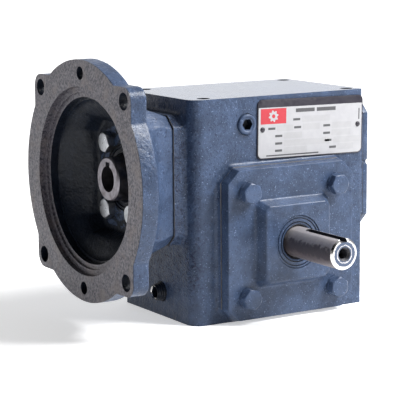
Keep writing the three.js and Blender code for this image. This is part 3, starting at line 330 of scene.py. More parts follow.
class Nodes:
    """A Principled material and short names for the nodes that feed it."""

    def __init__(self, name, color, roughness, metallic=0.0, **sockets):
        self.material = bpy.data.materials.new(name)
        self.material.use_nodes = True
        self.material.diffuse_color = (*color, 1)
        self.tree = self.material.node_tree
        self.shader = self.tree.nodes["Principled BSDF"]
        self.shader.inputs["Base Color"].default_value = (*color, 1)
        self.shader.inputs["Roughness"].default_value = roughness
        self.shader.inputs["Metallic"].default_value = metallic
        for socket, value in sockets.items():
            self.shader.inputs[socket.replace("_", " ")].default_value = value
        coordinates = self.tree.nodes.new("ShaderNodeTexCoord").outputs["Object"]
        self.point = self.vector("SCALE", coordinates, scale=1 / MM)

    def feed(self, socket, value):
        """Links a node's output to a socket, or sets the socket's value."""
        if isinstance(value, bpy.types.NodeSocket):
            self.tree.links.new(value, socket)
        elif socket.type == "RGBA" and len(value) == 3:
            socket.default_value = (*value, 1)
        else:
            socket.default_value = value

    def vector(self, operation, *values, scale=None):
        node = self.tree.nodes.new("ShaderNodeVectorMath")
        node.operation = operation
        for socket, value in zip(node.inputs, values):
            self.feed(socket, value)
        if scale is not None:
            node.inputs["Scale"].default_value = scale
        return node.outputs["Value" if operation in ("LENGTH", "DOT_PRODUCT") else "Vector"]

    def math(self, operation, *values):
        node = self.tree.nodes.new("ShaderNodeMath")
        node.operation = operation
        for socket, value in zip(node.inputs, values):
            self.feed(socket, value)
        return node.outputs[0]

    def axis(self, vector, name):
        node = self.tree.nodes.new("ShaderNodeSeparateXYZ")
        self.tree.links.new(vector, node.inputs[0])
        return node.outputs[name]

    def distance_from(self, centre, across):
        """Distance from a line through a centre; across has a 1 for each direction that counts."""
        offset = self.vector("SUBTRACT", self.point, centre)
        return self.vector("LENGTH", self.vector("MULTIPLY", offset, across))

    def noise(self, size, detail=2.0, roughness=0.5, vector=None):
        """Noise whose features are about so many millimetres wide."""
        node = self.tree.nodes.new("ShaderNodeTexNoise")
        self.tree.links.new(vector or self.point, node.inputs["Vector"])
        node.inputs["Scale"].default_value = 1 / size
        node.inputs["Detail"].default_value = detail
        node.inputs["Roughness"].default_value = roughness
        return node.outputs[0]

    def span(self, value, low, high, to_low=0.0, to_high=1.0):
        """Smoothly maps a value from one span to another."""
        node = self.tree.nodes.new("ShaderNodeMapRange")
        node.interpolation_type = "SMOOTHSTEP"
        for socket, number in zip(node.inputs, (value, low, high, to_low, to_high)):
            self.feed(socket, number)
        return node.outputs[0]

    def mix(self, share, first, second):
        node = self.tree.nodes.new("ShaderNodeMix")
        node.data_type = "RGBA"
        self.feed(node.inputs["Factor"], share)
        for name, value in (("A", first), ("B", second)):
            socket = next(s for s in node.inputs if s.name == name and s.type == "RGBA")
            self.feed(socket, value)
        return next(s for s in node.outputs if s.type == "RGBA")

    def color(self, value):
        self.feed(self.shader.inputs["Base Color"], value)

    def roughness(self, value):
        self.feed(self.shader.inputs["Roughness"], value)

    def bump(self, height, depth):
        """Adds relief; depth is how many millimetres a height of 1 stands for."""
        node = self.tree.nodes.new("ShaderNodeBump")
        node.inputs["Distance"].default_value = depth * MM
        self.feed(node.inputs["Height"], height)
        normal = self.shader.inputs["Normal"]
        if normal.links:
            self.feed(node.inputs["Normal"], normal.links[0].from_socket)
        self.tree.links.new(node.outputs[0], normal)


PAINT = (0.036, 0.056, 0.104)
# painted shade: the colour of the painted shade in the paint's hollows, specks and rough relief
PAINT_SHADE = (0.012, 0.017, 0.04)
# painted glints: the colour of the small lighter specks in the paint
PAINT_GLINT = (0.15, 0.2, 0.31)
RUBBER = (0.02, 0.02, 0.025)
RUST = (0.16, 0.10, 0.07)


def paint(name, peel=0.4, peel_size=1.5, pit_shade=0.8, tone=1.0, rough_zone=None, **sockets):
    """Enamel brushed over a casting: mottled colour, orange peel, painted shade in its hollows, dark specks of
    painted shade and small lighter specks as painted glints.
    """
    base = tuple(c * tone for c in PAINT)
    dark = tuple(c * tone for c in PAINT_SHADE)
    finish = {"Coat_Weight": 0.08, "Coat_Roughness": 0.12, "Specular_IOR_Level": 0.2, **sockets}
    m = Nodes(name, base, 0.4, **finish)
    mottle = m.span(m.noise(11, 3, 0.6), 0.34, 0.68)
    color = m.mix(mottle, tuple(c * 0.8 for c in base), tuple(c * 1.16 for c in base))
    grain = m.noise(peel_size, 3, 0.62)
    # painted shade: darker where the orange-peel relief is low
    color = m.mix(m.span(grain, 0.44, 0.3, 0, pit_shade), color, dark)
    speck = m.noise(0.9, 1)
    # painted shade: dark specks
    color = m.mix(m.span(speck, 0.64, 0.72, 0, pit_shade), color, dark)
    # painted glints: small lighter specks
    color = m.mix(m.span(speck, 0.32, 0.26, 0, 0.7), color, tuple(c * tone for c in PAINT_GLINT))
    m.roughness(m.span(m.noise(3, 2), 0.3, 0.7, 0.3, 0.5))
    m.bump(grain, peel)
    m.bump(m.noise(4.5, 2), 0.45)
    if rough_zone:
        rough = rough_zone(m)
        worms = m.noise(2.1, 2, 0.6)
        ridge = m.math("MULTIPLY", m.math("ABSOLUTE", m.math("SUBTRACT", worms, 0.5)), rough)
        # painted shade: dark worm-like lines along the rough relief
        color = m.mix(m.math("MULTIPLY", m.span(worms, 0.5, 0.36), rough), color, dark)
        m.bump(ridge, 2.4)
    m.color(color)
    return m.material


def housing_rough_zone(m):
    """The left wall is left rough from the mould: its boss, and the wall below the neck."""
    x = m.axis(m.point, "X")
    z = m.axis(m.point, "Z")
    left = m.span(x, HOUSING_LEFT + 9, HOUSING_LEFT + 2)
    boss = m.span(x, HOUSING_LEFT - 0.5, HOUSING_LEFT - 2)
    below = m.math("MULTIPLY", left, m.span(z, 14, 26, 0.2, 0.9))
    below = m.math("MULTIPLY", below, m.span(z, 60, 48, 0.4, 1))
    return m.math("MAXIMUM", below, m.math("MULTIPLY", boss, 0.8))


def bare_iron(name, axis_z):
    """Faced grey iron: turning rings about the input axis under a mottled dark film."""
    m = Nodes(name, (0.17, 0.155, 0.17), 0.46, 0.3)
    radius = m.distance_from((0, 0, axis_z), (0, 1, 1))
    film = m.mix(m.span(m.noise(1.5, 4, 0.65), 0.32, 0.68), (0.022, 0.022, 0.034), (0.16, 0.15, 0.17))
    m.color(m.mix(m.span(m.noise(9, 3), 0.45, 0.75, 0, 0.6), film, (0.14, 0.115, 0.11)))
    m.roughness(m.span(m.noise(2.2, 3), 0.3, 0.7, 0.34, 0.5))
    rings = m.tree.nodes.new("ShaderNodeTexNoise")
    rings.noise_dimensions = "1D"
    m.tree.links.new(radius, rings.inputs["W"])
    rings.inputs["Scale"].default_value = 3.5
    m.bump(rings.outputs[0], 0.03)
    m.bump(m.noise(0.9, 3), 0.2)
    return m.material


def turned_steel(name, color, roughness, along="Y", stain=0.0, tone=0.75):
    """Ground or turned steel: fine marks round the axis, and a brown film where it was handled."""
    m = Nodes(name, color, roughness, 1.0)
    stretch = {"X": (4, 0.15, 0.15), "Y": (0.15, 4, 0.15)}[along]
    marks = m.noise(1.2, 3, 0.6, m.vector("MULTIPLY", m.point, stretch))
    blotch = m.noise(3.2, 4, 0.65)
    shade = m.mix(m.span(marks, 0.3, 0.7), tuple(c * tone for c in color), color)
    m.color(m.mix(m.span(blotch, 0.5, 0.72, 0, stain), shade, RUST))
    m.roughness(m.span(blotch, 0.35, 0.7, roughness * 0.8, roughness * 1.5))
    m.bump(marks, 0.02)
    m.bump(m.noise(0.7, 2), 0.015 + 0.05 * stain)
    return m.material


def shaft_painted_light_and_shade(name):
    """A ground shaft: lighter above and darker, browner below as painted light and shade, and a dark streak along
    its left side.
    """
    m = Nodes(name, (0.3, 0.28, 0.28), 0.34, 0.5)
    across = m.vector("SUBTRACT", m.point, (0, 0, OUTPUT_Z))
    blotch = m.noise(3.2, 4, 0.65)
    height = m.math("ADD", m.axis(across, "Z"), m.span(blotch, 0.3, 0.7, -1.5, 1.5))
    pale = m.mix(m.noise(1.2, 3, 0.6, m.vector("MULTIPLY", m.point, (0.15, 4, 0.15))), (0.3, 0.275, 0.28),
                 (0.44, 0.42, 0.43))
    # painted light and shade: lighter towards the top, darker towards the bottom
    shade = m.mix(m.span(height, -3, 8), (0.13, 0.108, 0.11), pale)
    streak = m.math("ADD", m.axis(across, "X"), m.span(blotch, 0.3, 0.7, -0.5, 0.5))
    m.color(m.mix(m.span(streak, -8.3, -9.2, 0, 0.8), shade, (0.05, 0.042, 0.05)))
    m.roughness(m.span(blotch, 0.35, 0.7, 0.3, 0.5))
    m.bump(m.noise(0.7, 2), 0.04)
    return m.material


def rubber(name):
    m = Nodes(name, RUBBER, 0.62)
    m.color(m.mix(m.span(m.noise(2, 3), 0.4, 0.7), RUBBER, (0.05, 0.05, 0.06)))
    m.bump(m.noise(0.6, 2), 0.03)
    return m.material


def flat_finish(name, color, roughness, grain=0.012, **sockets):
    """Print, paper and plating: one colour with a little unevenness."""
    m = Nodes(name, color, roughness, **sockets)
    m.color(m.mix(m.span(m.noise(5, 3), 0.3, 0.7), tuple(c * 0.93 for c in color), color))
    m.roughness(m.span(m.noise(1.6, 2), 0.3, 0.7, roughness * 0.85, min(1, roughness * 1.2)))
    m.bump(m.noise(0.5, 1), grain)
    return m.material


housing_paint = paint("housing_paint", rough_zone=housing_rough_zone)
flange_paint = paint("flange_paint")
# painted shadow: a darker copy of the paint for the thin ring at the edge of the faced rim
flange_rim_painted_shadow = paint("flange_rim_painted_shadow", tone=0.3)
# painted shade: a much darker copy of the paint for the inside of the bell and for holes, sockets and grooves
hollow_shade_paint = paint("bell_inside_painted_shade", pit_shade=0.7, tone=0.16)
cover_paint = paint("cover_paint", peel=0.24, peel_size=1.2, pit_shade=0.6)
fastener_paint = paint("fastener_paint", peel=0.06, peel_size=0.9, pit_shade=0.4, tone=1.1)
# painted sheen: a lighter copy of the paint, with a glossy coat, for the milled faces
milled_sheen_paint = paint("milled_face_painted_sheen", peel=0.01, peel_size=2.2, pit_shade=0.1, tone=1.3,
                     Coat_Weight=1.0, Coat_IOR=1.7, Coat_Roughness=0.12, Specular_IOR_Level=0.5)
black_paint = paint("plug_black_paint", peel=0.05, peel_size=0.9, pit_shade=0.3, tone=0.14)
flange_iron = bare_iron("flange_faced_iron", INPUT_Z)
bore_steel = turned_steel("bored_iron", (0.3, 0.29, 0.29), 0.45, "X")
shaft_steel = shaft_painted_light_and_shade("shaft_ground_steel")
chamfer_steel = turned_steel("shaft_bright_chamfer", (0.78, 0.77, 0.76), 0.2, "Y")
worm_steel = turned_steel("worm_hardened_steel", (0.26, 0.245, 0.27), 0.36, "X", stain=0.3)
bearing_steel = turned_steel("bearing_ground_steel", (0.6, 0.6, 0.62), 0.22, "X")
zinc = turned_steel("zinc_plated_steel", (0.55, 0.57, 0.6), 0.34, "X", stain=0.15)
bronze = turned_steel("wheel_bronze", (0.55, 0.36, 0.15), 0.3, "Y")
seal_rubber = rubber("seal_rubber")
gasket_paper = flat_finish("gasket_paper", (0.03, 0.03, 0.035), 0.85, 0.03)
plate_white = flat_finish("plate_white", (0.32, 0.32, 0.335), 0.36)
plate_black = flat_finish("plate_black", (0.01, 0.008, 0.016), 0.4)
plate_red = flat_finish("plate_red", (0.36, 0.018, 0.03), 0.4)
plate_grey = flat_finish("plate_grey", (0.3, 0.3, 0.31), 0.4)
plate_text = flat_finish("plate_print", (0.05, 0.05, 0.055), 0.45)

SLOT_LOOKS = {
    "painted_casting": housing_paint,
    "painted_hardware": fastener_paint,
    "zinc_steel": zinc,
    "shaft_steel": shaft_steel,
    "worm_steel": worm_steel,
    "bearing_steel": bearing_steel,
    "wheel_bronze": bronze,
    "seal_rubber": seal_rubber,
    "gasket_paper": gasket_paper,
    "nameplate_print": plate_white,
}
for part in frame["record"]["subparts"]:
    cad_mesh = frame["nodes"][part["node"]].data
    cad_mesh.materials.clear()
    cad_mesh.materials.append(SLOT_LOOKS[part["material_slot"]])

# ---- Motor flange: a cast bell, then the faced, bored and drilled surfaces


def catmull(values, t):
    """Smooth curve through values, with t from 0 to their last index."""
    k = min(int(t), len(values) - 2)
    u = t - k
    a, b, c, d = (values[min(max(k + n, 0), len(values) - 1)] for n in (-1, 0, 1, 2))
    return b + 0.5 * u * (c - a + u * (2 * a - 5 * b + 4 * c - d + u * (3 * (b - c) + d - a)))


def bell_skin(stations, smooth_steps=6):
    """Rings from an octagon to a circle; each station is x, half sizes, chamfer, radius, roundness."""
    columns = list(zip(*stations))
    rings = []
    for k in range((len(stations) - 1) * smooth_steps + 1):
        x, w, h, c, r, share = (catmull(column, k / smooth_steps) for column in columns)
        share = min(max(share, 0), 1)
        ring = []
        for y, z in octagon(w, h, c, steps=12):
            pull = 1 + share * (r / math.hypot(y, z) - 1)
            ring.append((x, y * pull, INPUT_Z + z * pull))
        rings.append(ring)
    return skin(rings)


def motor_flange():
    casting = solid("motor_flange_casting", *along_x(FLANGE_R, FLANGE_FACE - 3, FLANGE_BACK, segments=128),
                    flange_paint)
    lugs = rounded_rectangle(LUG_HALF, LUG_HALF, [LUG_RADIUS] * 4)
    outside = bell_skin([
        (NECK_END + 3, BOSS_HALF_WIDTH - 1.3, BOSS_HALF_HEIGHT - 1.3, BOSS_CHAMFER, 40, 0),
        (NECK_END, BOSS_HALF_WIDTH - 0.8, BOSS_HALF_HEIGHT - 0.8, BOSS_CHAMFER, 41, 0),
        (-86, 37.5, 44, 9, 46, 0.2),
        (-97, 42, 48, 14, 54, 0.8),
        (FLANGE_BACK - 2, 46, 50, 16, 57.5, 1),
    ])
    union(casting, tool(prism(lugs, FLANGE_FACE - 3, FLANGE_BACK), at(RIGHT, 0, 0, INPUT_Z)), tool(outside))
    inside = bell_skin([
        (BELL_FLOOR, 29, 33.5, 8, 38, 0),
        (-96, 31, 35.5, 9, 40, 0.15),
        (-102, 33, 37, 11, 45, 0.7),
        (FLANGE_FACE + RECESS_DEPTH, 36, 40, 14, RECESS_R - 1.6, 1),
        (FLANGE_FACE - 6, 36, 40, 14, RECESS_R - 1.6, 1),
    ])
    # painted shade: the inside of the bell takes the dark paint
    cut(casting, tool(inside, material=hollow_shade_paint))
    cast_skin(casting, voxel=0.85, smoothing=2, waviness=0.2)
    paint_by_place(casting)
    cut(
        casting,
        tool(block((FLANGE_FACE - 20, -90, 0), (FLANGE_FACE, 90, 180)), material=flange_iron),
        tool(block((NECK_END, -60, 0), (NECK_END + 20, 60, 180)), material=bore_steel),
        tool(*along_x(PILOT_R, FLANGE_FACE - 1, FLANGE_FACE + PILOT_DEPTH, segments=160), flange_iron),
        tool(*along_x(STEP_R, FLANGE_FACE - 1, FLANGE_FACE + STEP_DEPTH, segments=160), flange_iron),
        # painted shade: the recess takes the dark paint
        tool(*along_x(RECESS_R, FLANGE_FACE - 1, FLANGE_FACE + RECESS_DEPTH, segments=160), hollow_shade_paint),
        tool(*along_x(INPUT_SEAL_POCKET_R, BELL_FLOOR - 4, BELL_FLOOR + 8), bore_steel),
        tool(*along_x(QUILL_HOLE_R, BELL_FLOOR - 4, NECK_END + 1), bore_steel),
    )
    # painted shade: the flange's own bolt holes take the dark paint
    holes = []
    for sy, sz in QUARTERS:
        holes.append(tool(*along_x(FLANGE_HOLE_R, FLANGE_FACE - 1, FLANGE_BACK + 12, sy * FLANGE_HOLE,
                                   sz * FLANGE_HOLE, 48), hollow_shade_paint))
        holes.append(tool(*along_x(BOLT_HOLE_R, BELL_FLOOR - 4, NECK_END + 1, sy * BELL_BOLT_Y,
                                   sz * BELL_BOLT_Z, 32), bore_steel))
    for sz in (-1, 1):
        holes.append(tool(*along_x(SMALL_HOLE_R, FLANGE_FACE - 1, FLANGE_BACK + 12, 0,
                                   sz * SMALL_HOLE_OFFSET, 40), hollow_shade_paint))
    cut(casting, *holes)
    place_piece(casting, "casing", ["motor_flange"])


def paint_by_place(casting):
    """The remeshed casting is one colour again, so its bell is painted by place: a much darker paint inside the
    bell as painted shade, and a dark ring round the faced rim as painted shadow.
    """
    mesh = casting.data
    mesh.materials.clear()
    for look in (flange_paint, hollow_shade_paint, flange_rim_painted_shadow):
        mesh.materials.append(look)
    for face in mesh.polygons:
        centre = face.center
        off_axis = math.hypot(centre.y, centre.z - INPUT_Z)
        outward = face.normal.y * centre.y + face.normal.z * (centre.z - INPUT_Z)
        hollow = centre.x < BELL_FLOOR + 0.8 and off_axis < RECESS_R + 1 and outward < 0.5 * off_axis
        outside = centre.x > FLANGE_BACK - 3 and outward > 0
        # painted shadow: a thin dark ring along the edge next to the faced rim
        rim = centre.x < FLANGE_FACE + 0.75 and off_axis > PILOT_R
        face.material_index = 2 if rim else int(hollow and not outside)


# ---- Housing


def side_pad(side):
    rings = [(PAD_BASE_HALF, HOUSING_DEPTH - 1), (PAD_FACE_HALF, PAD_FACE + 1)]
    return skin([[(x, side * y, OUTPUT_Z + z) for x, z in octagon(half, half, PAD_CHAMFER)]
                 for half, y in rings])


def housing():
    middle = (HOUSING_LEFT + HOUSING_RIGHT) / 2
    half_length = (HOUSING_RIGHT - HOUSING_LEFT) / 2
    radii = [HOUSING_EDGE_RADIUS, HOUSING_EDGE_RADIUS, HOUSING_FRONT_LEFT_RADIUS, HOUSING_EDGE_RADIUS]
    outline = rounded_rectangle(half_length, HOUSING_DEPTH, radii)
    casting = solid("housing_casting", prism(outline, -2, HOUSING_TOP + 2), at(UP, middle), housing_paint)
    boss = octagon(BOSS_HALF_WIDTH, BOSS_HALF_HEIGHT, BOSS_CHAMFER)
    across = at(RIGHT, 0, 0, INPUT_Z)
    union(
        casting,
        tool(prism(boss, LEFT_BOSS_FACE - 2, HOUSING_LEFT + 2), across),
        tool(prism(boss, HOUSING_RIGHT - 2, RIGHT_BOSS_FACE + 2), across),
        tool(side_pad(-1)),
        tool(side_pad(1)),
    )
    cast_skin(casting, voxel=0.95, smoothing=2, waviness=0.22)
    casting.data.materials.clear()
    casting.data.materials.append(housing_paint)
    lip = INPUT_BEARING_X - BEARING_HALF - FIT
    far = 200
    spare = 20

    def faced(look, low=(-far, -far, -spare), high=(far, far, far)):
        return tool(block(low, high), material=look)

    cut(
        casting,
        # painted sheen: the milled bottom and top faces take the lighter, glossier paint
        faced(milled_sheen_paint, high=(far, far, 0)),
        faced(milled_sheen_paint, (-far, -far, HOUSING_TOP), (far, far, HOUSING_TOP + spare)),
        faced(bore_steel, high=(LEFT_BOSS_FACE, far, far)),
        faced(bore_steel, (RIGHT_BOSS_FACE, -far, -spare)),
        faced(bore_steel, high=(far, -PAD_FACE, far)),
        faced(bore_steel, (-far, PAD_FACE, -spare)),
        tool(block(CAVITY_LOW, CAVITY_HIGH), material=bore_steel),
        tool(rod(COVER_BORE_R, -PAD_FACE - 1, PAD_FACE + 1, 96), at(FRONT, 0, 0, OUTPUT_Z), bore_steel),
        tool(*along_x(QUILL_HOLE_R, LEFT_BOSS_FACE - 1, lip + 1), bore_steel),
        tool(*along_x(BEARING_POCKET_R, lip, CAVITY_LOW[0] + 1), bore_steel),
        tool(*along_x(BEARING_POCKET_R, CAVITY_HIGH[0] - 1, RIGHT_BOSS_FACE + 1), bore_steel),
    )
    # painted shade: the foot holes take the dark paint
    holes = []
    for sx, sy in QUARTERS:
        x, y = sx * FOOT_HOLE_X, sy * FOOT_HOLE_Y
        holes.append(tool(rod(FOOT_HOLE_R, HOUSING_TOP - FOOT_HOLE_DEPTH, HOUSING_TOP + 1, 32), at(UP, x, y),
                          hollow_shade_paint))
        holes.append(tool(rod(FOOT_HOLE_R, -1, FOOT_HOLE_DEPTH, 32), at(UP, x, y), hollow_shade_paint))
    for sa, sz in QUARTERS:
        x, z = sa * COVER_BOLT, OUTPUT_Z + sz * COVER_BOLT
        for low in (-PAD_FACE - 1, PAD_FACE - BOLT_DEPTH):
            holes.append(tool(rod(BOLT_HOLE_R, low, low + BOLT_DEPTH + 1, 32), at(REAR, x, 0, z), bore_steel))
        holes.append(tool(*along_x(BOLT_HOLE_R, LEFT_BOSS_FACE - 1, LEFT_BOSS_FACE + 10, sa * BELL_BOLT_Y,
                                   sz * BELL_BOLT_Z, 32), bore_steel))
        holes.append(tool(*along_x(BOLT_HOLE_R, RIGHT_BOSS_FACE - BOLT_DEPTH, RIGHT_BOSS_FACE + 1,
                                   sa * CAP_BOLT_Y, sz * CAP_BOLT_Z, 32), bore_steel))
    cut(casting, *holes)
    cut(casting, *plug_holes())
    place_piece(casting, "casing", ["housing"])


def plug_holes():
    fill_low, fill_high = corners("fill_plug")
    fill = (fill_low + fill_high) / 2
    fill_r = (fill_high.x - fill_low.x) / 2 + FIT
    drain_low, drain_high = corners("drain_plug")
    drain = (drain_low + drain_high) / 2
    drain_r = (drain_high.y - drain_low.y) / 2 + FIT
    fill_hole = CAVITY_HIGH[1] - 1, HOUSING_DEPTH + 1
    drain_hole = HOUSING_LEFT - 1, CAVITY_LOW[0] + 1
    # painted shade: the plug holes take the dark paint
    return [
        tool(rod(fill_r, *fill_hole, 48), at(FRONT, fill.x, 0, fill.z), hollow_shade_paint),
        tool(rod(fill_r, *fill_hole, 48), at(REAR, fill.x, 0, fill.z), hollow_shade_paint),
        tool(rod(drain_r, *drain_hole, 48), at(RIGHT, 0, drain.y, drain.z), hollow_shade_paint),
    ]


# ---- Side covers, drawn with their outward face along local Z and the output axis at x = y = 0


def cover(name, facing, raised):
    def plate(half_low, low, half_high, high, chamfer):
        rings = ((half_low, low), (half_high, high))
        return skin([[(x, y, z) for x, y in octagon(half, half, chamfer)] for half, z in rings])

    place = at(facing, 0, 0, OUTPUT_Z)
    casting = solid(name, plate(PAD_FACE_HALF, COVER_BACK - 2, COVER_HALF, COVER_FACE, COVER_CHAMFER), place,
                    cover_paint)
    pieces = [tool(rod(COVER_HUB_R, COVER_HUB_END, COVER_BACK, 96), place)]
    if raised:
        pad = plate(RAISED_BASE_HALF, COVER_FACE - 1, RAISED_HALF, RAISED_FACE, RAISED_CHAMFER)
        pieces.append(tool(pad, place))
    union(casting, *pieces)
    cast_skin(casting, voxel=0.62, smoothing=2, waviness=0.1)
    casting.data.materials.clear()
    casting.data.materials.append(cover_paint)
    overhang = revolve([(COVER_HUB_R, COVER_BACK - 4), (90, COVER_BACK - 4), (90, COVER_BACK),
                        (COVER_HUB_R, COVER_BACK)])
    cuts = [
        tool(overhang, place, bore_steel),
        tool(rod(CUP_R + FIT, COVER_HUB_END - 4, CUP_FACE + 0.1), place, bore_steel),
    ]
    if raised:
        cuts.append(tool(rod(SEAL_R, RAISED_FACE - SEAL_DEPTH - 1, RAISED_FACE + 3, 96), place, cover_paint))
        cuts.append(tool(rod(SEAL_THROAT_R, CUP_FACE - 1, RAISED_FACE), place, bore_steel))
    for sx, sy in QUARTERS:
        hole = at(facing, 0, 0, OUTPUT_Z) @ Matrix.Translation((sx * COVER_BOLT, sy * COVER_BOLT, 0))
        cuts.append(tool(rod(BOLT_HOLE_R, COVER_BACK - 3, COVER_FACE + 3, 32), hole, bore_steel))
    cut(casting, *cuts)
    return casting


# ---- Fasteners and plugs, drawn with the head along local Z and the seat at z = 0

BOLT_FLATS = 11.6
BOLT_R = 3.1
COVER_BOLT_HEAD, BELL_BOLT_HEAD = 4.5, 4.9
WASHER_R, WASHER_THICKNESS = 6.3, 2
FILL_SOCKET_FLATS = 6.3
DRAIN_LENGTH, DRAIN_END_R = 9.9, 5.0
DRAIN_THREAD_DEPTH, DRAIN_THREAD_PITCH = 0.55, 1.5
DRAIN_SOCKET_FLATS, DRAIN_SOCKET_DEPTH = 7.2, 6.8


def hex_bolt(name, head, shank, material):
    bolt = solid(name, prism(hexagon(BOLT_FLATS), 0, head), UP, material)
    crown_r = BOLT_FLATS / 2 - 0.3
    wide = 9
    drop = (wide - crown_r) * math.tan(math.radians(30))
    crown = revolve([(0, -1), (wide, -1), (wide, head - drop), (crown_r, head), (0, head)], 48)
    combine(bolt, [tool(crown, UP, material)], "INTERSECT")
    union(bolt, tool(rod(BOLT_R, -shank, 0.5, 32), UP, material))
    return soften(bolt, 0.14, 2)


def lock_washer(name, material):
    """A split spring ring whose ends stand a little apart."""
    inner, outer = BOLT_HOLE_R, WASHER_R
    half = WASHER_THICKNESS / 2 - 0.12
    steps = 60
    rings = []
    for k in range(steps + 1):
        share = k / steps
        angle = math.radians(8) + share * math.radians(344)
        lift = WASHER_THICKNESS / 2 + (share - 0.5) * 0.2
        section = ((inner, lift - half), (outer, lift - half), (outer, lift + half), (inner, lift + half))
        rings.append([(r * math.cos(angle), r * math.sin(angle), z) for r, z in section])
    return soften(solid(name, skin(rings), UP, material), 0.18, 2)


def threaded_rod(low, high, crest_at, depth, pitch, segments):
    """A screw-threaded rod about local Z; crest_at gives the crest's radius at a height."""
    def radius_at(angle, z):
        turn = (z / pitch - angle / (2 * math.pi)) % 1
        fade = min(1, (z - low) / pitch, (high - z) / pitch)
        return crest_at(z) - depth * (1 - fade * (1 - abs(2 * turn - 1)))

    count = int((high - low) / pitch * 8)
    heights = [low + (high - low) * k / count for k in range(count + 1)]
    turns = [circle(crest_at(z), z, segments, radius_at) for z in heights]
    return skin([[(0, 0, low)]] + turns + [[(0, 0, high)]])


def socket_plug(name, node, facing, material):
    """A pipe plug with a hexagon socket, set in a spot-faced boss."""
    low, high = corners(node)
    centre = (low + high) / 2
    r = (high.x - low.x) / 2
    proud = max(-low.y, high.y) - HOUSING_DEPTH
    place = at(facing, centre.x, 0, centre.z) @ Matrix.Translation((0, 0, HOUSING_DEPTH))
    body = revolve([(0, -11), (r - 0.8, -11), (r - 0.1, -10), (r - 0.1, proud - 0.9), (r - 0.5, proud - 0.25),
                    (r - 1.1, proud), (4.6, proud), (4.0, proud - 0.5), (0, proud - 0.5)], 64)
    plug = solid(name, body, place, material)
    # painted shade: the hex socket takes the dark paint
    socket = tool(prism(hexagon(FILL_SOCKET_FLATS), proud - 6, proud + 2), place, hollow_shade_paint)
    cut(plug, socket)
    soften(plug, 0.12, 2)
    return place_piece(plug, "casing", [node])


def drain_plug():
    """A tapered pipe plug standing a few threads proud of the wall."""
    low, high = corners("drain_plug")
    centre = (low + high) / 2
    r = (high.y - low.y) / 2
    place = at(LEFT, HOUSING_LEFT, centre.y, centre.z)
    proud = HOUSING_LEFT - low.x

    def taper(z):
        return r + (DRAIN_END_R - r) * max(0, z) / proud

    body = threaded_rod(-DRAIN_LENGTH, proud, taper, DRAIN_THREAD_DEPTH, DRAIN_THREAD_PITCH, 64)
    plug = solid("drain_plug_threaded", body, place, black_paint)
    mouth = revolve([(0, proud - 0.7), (3.9, proud - 0.7), (4.8, proud + 1), (0, proud + 1)], 48)
    cut(
        plug,
        tool(prism(hexagon(DRAIN_SOCKET_FLATS), proud - DRAIN_SOCKET_DEPTH, proud + 2), place, black_paint),
        tool(mouth, place, chamfer_steel),
    )
    return place_piece(plug, "casing", ["drain_plug"])


def fasteners():
    cover_bolt = hex_bolt("cover_bolt_pattern", COVER_BOLT_HEAD, 18.6, fastener_paint)
    washer = lock_washer("lock_washer_pattern", fastener_paint)
    for cover_name, facing in (("output_cover", FRONT), ("rear_cover", REAR)):
        for i, (sx, sy) in enumerate(QUARTERS, 1):
            turn = Matrix.Rotation(math.radians(17 + 83 * i), 4, "Z")
            seat = at(facing, 0, 0, OUTPUT_Z)
            seat = seat @ Matrix.Translation((sx * COVER_BOLT, sy * COVER_BOLT, COVER_FACE))
            bolt_node = f"{cover_name}_bolt_{i}"
            bolt = copy_piece(cover_bolt, f"{bolt_node}_painted",
                              seat @ Matrix.Translation((0, 0, WASHER_THICKNESS)) @ turn)
            place_piece(bolt, "casing", [bolt_node])
            washer_node = f"{cover_name}_washer_{i}"
            ring = copy_piece(washer, f"{washer_node}_split", seat @ turn)
            place_piece(ring, "casing", [washer_node])
    cap_bolt = hex_bolt("cap_bolt_pattern", COVER_BOLT_HEAD, 12.8, fastener_paint)
    bell_bolt = hex_bolt("bell_bolt_pattern", BELL_BOLT_HEAD, 24, zinc)
    for i, (sy, sz) in enumerate(QUARTERS, 1):
        turn = Matrix.Rotation(math.radians(11 + 47 * i), 4, "Z")
        seat = at(RIGHT, END_CAP_FACE + 0.1, sy * CAP_BOLT_Y, INPUT_Z + sz * CAP_BOLT_Z)
        bolt = copy_piece(cap_bolt, f"end_cap_bolt_{i}_painted", seat @ turn)
        place_piece(bolt, "casing", [f"end_cap_bolt_{i}"])
        seat = at(LEFT, BELL_FLOOR - 0.1, sy * BELL_BOLT_Y, INPUT_Z + sz * BELL_BOLT_Z)
        bolt = copy_piece(bell_bolt, f"motor_flange_bolt_{i}_plated", seat @ turn)
        place_piece(bolt, "casing", [f"motor_flange_bolt_{i}"])
    for pattern in (cover_bolt, washer, cap_bolt, bell_bolt):
        bpy.data.objects.remove(pattern)


# ---- Turning parts and seals


def end_face_paint(end):
    """Overspray on the shaft's end face, scraped to bare metal in a thin ring and round the edge."""
    m = Nodes("shaft_end_face", PAINT, 0.4)
    radius = m.distance_from((0, -end, OUTPUT_Z), (1, 0, 1))
    blotch = m.math("ADD", radius, m.span(m.noise(1.6, 3), 0.2, 0.8, -0.35, 0.35))
    ring = m.math("MULTIPLY", m.span(blotch, 4.9, 5.2), m.span(blotch, 5.6, 5.3))
    edge = m.span(blotch, 7.3, 7.7)
    bare = m.math("MAXIMUM", ring, edge)
    m.color(m.mix(bare, tuple(c * 1.1 for c in PAINT), (0.62, 0.6, 0.6)))
    m.feed(m.shader.inputs["Metallic"], m.math("MULTIPLY", bare, 0.8))
    m.roughness(m.span(m.noise(1.2, 2), 0.3, 0.7, 0.28, 0.45))
    m.bump(m.noise(0.7, 2), 0.05)
    return m.material


